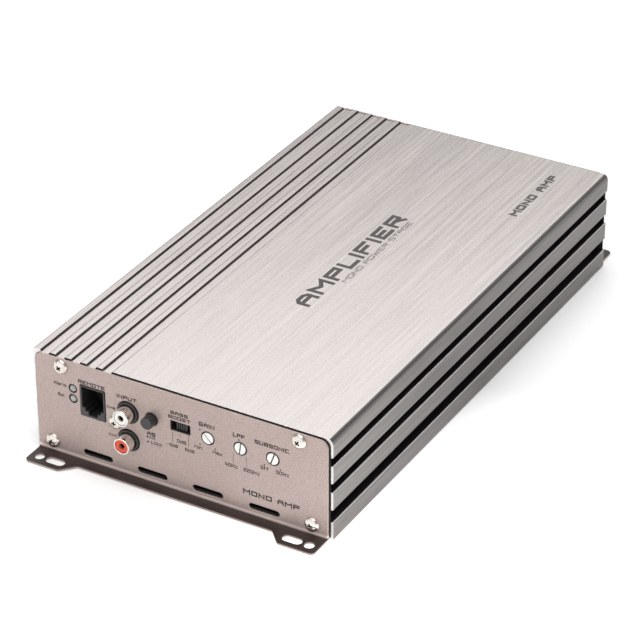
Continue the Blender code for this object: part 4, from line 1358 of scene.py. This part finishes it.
def make_fuses():
    left, right, low, high = FUSE_HOLDER
    front, back = FUSE_HOLDER_DEPTHS
    thick, deep, tall = FUSE_SIZE
    middle = (low + high) / 2
    start = FUSE_BACK - deep
    blade_heights = (middle - FUSE_BLADE_OFFSET, middle + FUSE_BLADE_OFFSET)
    window_heights = (middle - FUSE_WINDOW_OFFSET, middle + FUSE_WINDOW_OFFSET)
    cutters = []
    for x in FUSE_CENTRES:
        cutters.append(slab(x, thick / 2 + 0.3, start - 0.3, back + 1, middle, tall / 2 + 0.3))
        cutters += [slab(x, 0.7, start - 7.3, start + 1, z, 2.9) for z in blade_heights]
    shape = softened(boolean(block(left, right, front, back, low, high, 0), cutters), 0.3)
    piece("fuse_socket", shape, "black_plastic", replaces="fuse_holder")
    for index, x in enumerate(FUSE_CENTRES, 1):
        grip = slab(x, thick / 2, FUSE_BACK - 3.4, FUSE_BACK, middle, tall / 2, 0.5)
        trunk = slab(x, 1.95, start, FUSE_BACK - 3.2, middle, 8.3, 0.3)
        windows = [slab(x, 0.9, FUSE_BACK - 0.8, FUSE_BACK + 1, z, 1.3) for z in window_heights]
        shape = joined(softened(boolean(grip, windows), 0.06, 60, 1), trunk)
        unit = f"fuse_unit_{index}"
        piece(f"fuse_body_{index}", shape, "fuse", unit, replaces=f"fuse_{index}")
        blades = []
        for blade, window in zip(blade_heights, window_heights):
            blades.append(slab(x, 0.4, start - 7.0, start + 0.5, blade, 2.6, 0.12))
            blades.append(slab(x, 0.85, FUSE_BACK - 1.1, FUSE_BACK - 0.7, window, 1.25, 0.1))
        piece(f"fuse_blades_{index}", joined(*blades), "nickel", unit)
        strokes = drawn_text("30", -1.9, 1.9, -1.2, 1.2, 0.38)
        digits = printed(strokes, facing_rear(FUSE_BACK, x, middle))
        piece(f"fuse_rating_{index}", joined(*digits), "white_plastic", unit, slot=False)


# ---- Inside, which keeps its CAD shapes ----


def finish_inside():
    finishes = {
        "board": ["main_circuit_board", "control_board"],
        "winding": ["power_transformer", "output_filter_coil"],
        "capacitor": [f"reservoir_capacitor_{i}" for i in range(1, 5)],
        "steel": ["clamp_bar_left", "clamp_bar_right"],
        "semiconductor": [f"transistor_{side}_{i}" for side in ("left", "right") for i in (1, 2)],
        "black_plastic": ["as_switch_body", *(f"{name}_pot_body" for name in POTS)],
    }
    for key, names in finishes.items():
        for name in names:
            materials = NODES[name].data.materials
            if not materials:
                materials.append(None)
            for index in range(len(materials)):
                materials[index] = MATERIALS[key]


# ---- Studio ----


def make_floor():
    shape = solid([circle((0, 0), 9000, 96)], -40, -0.05, 5, 2)
    bmesh.ops.scale(shape, vec=(MM, MM, MM), verts=shape.verts)
    floor = temporary(shape, "studio_floor")
    floor.data.materials.append(floor_material())


def aimed(obj, place, target, roll=0.0):
    """Puts a light or a camera at a place, looking at its target."""
    obj.location = place
    aim = (Vector(target) - Vector(place)).to_track_quat("-Z", "Y").to_matrix()
    obj.rotation_euler = (aim @ Matrix.Rotation(math.radians(roll), 3, "Z")).to_euler()


def area_light(name, place, target, size, watts):
    light = bpy.data.lights.new(name, "AREA")
    light.shape = "RECTANGLE"
    light.size, light.size_y = size
    light.energy = watts
    obj = linked(name, light)
    obj.visible_camera = False
    aimed(obj, place, target)


def make_studio():
    make_floor()
    world = bpy.data.worlds.new("studio")
    bpy.context.scene.world = world
    world.use_nodes = True
    tree = world.node_tree
    background = tree.nodes["Background"]
    direction = add_node(tree, "ShaderNodeTexCoord").outputs["Generated"]
    height = add_node(tree, "ShaderNodeSeparateXYZ", {"Vector": direction}).outputs["Z"]
    ramp = add_node(tree, "ShaderNodeValToRGB", {"Fac": height})
    elements = ramp.color_ramp.elements
    elements[0].position = SKY[0][0]
    elements[1].position = SKY[-1][0]
    for position, _ in SKY[1:-1]:
        elements.new(position)
    for element, (_, value) in zip(elements, SKY):
        element.color = (value, value, value, 1)
    tree.links.new(ramp.outputs["Color"], background.inputs["Color"])
    background.inputs["Strength"].default_value = 1.0
    for light in LIGHTS:
        area_light(*light)
    view = bpy.context.scene.view_settings
    view.view_transform = "Standard"
    view.look = "None"
    view.exposure = 0.0
    view.gamma = 1.0


def make_camera():
    data = bpy.data.cameras.new("camera")
    data.lens = CAMERA_LENS
    data.sensor_width = 36
    data.clip_start, data.clip_end = 0.05, 50
    camera = linked("camera", data)
    aimed(camera, CAMERA_PLACE, CAMERA_TARGET, CAMERA_ROLL)
    bpy.context.scene.camera = camera


make_housing()
make_gap_shade_sheets()
end_plate("front_panel", -1, front_openings(), "front_plate")
end_plate("rear_panel", 1, rear_openings(), "rear_plate")
make_screws()
make_cover()
make_lamps()
make_gap_shade_rings()
make_remote_jack()
make_inputs()
make_as_button()
make_bass_switch()
make_trimmers()
make_panel_lettering()
make_top_lettering()
make_terminals()
make_terminal_marks()
make_fuses()
finish_inside()
make_studio()
make_camera()
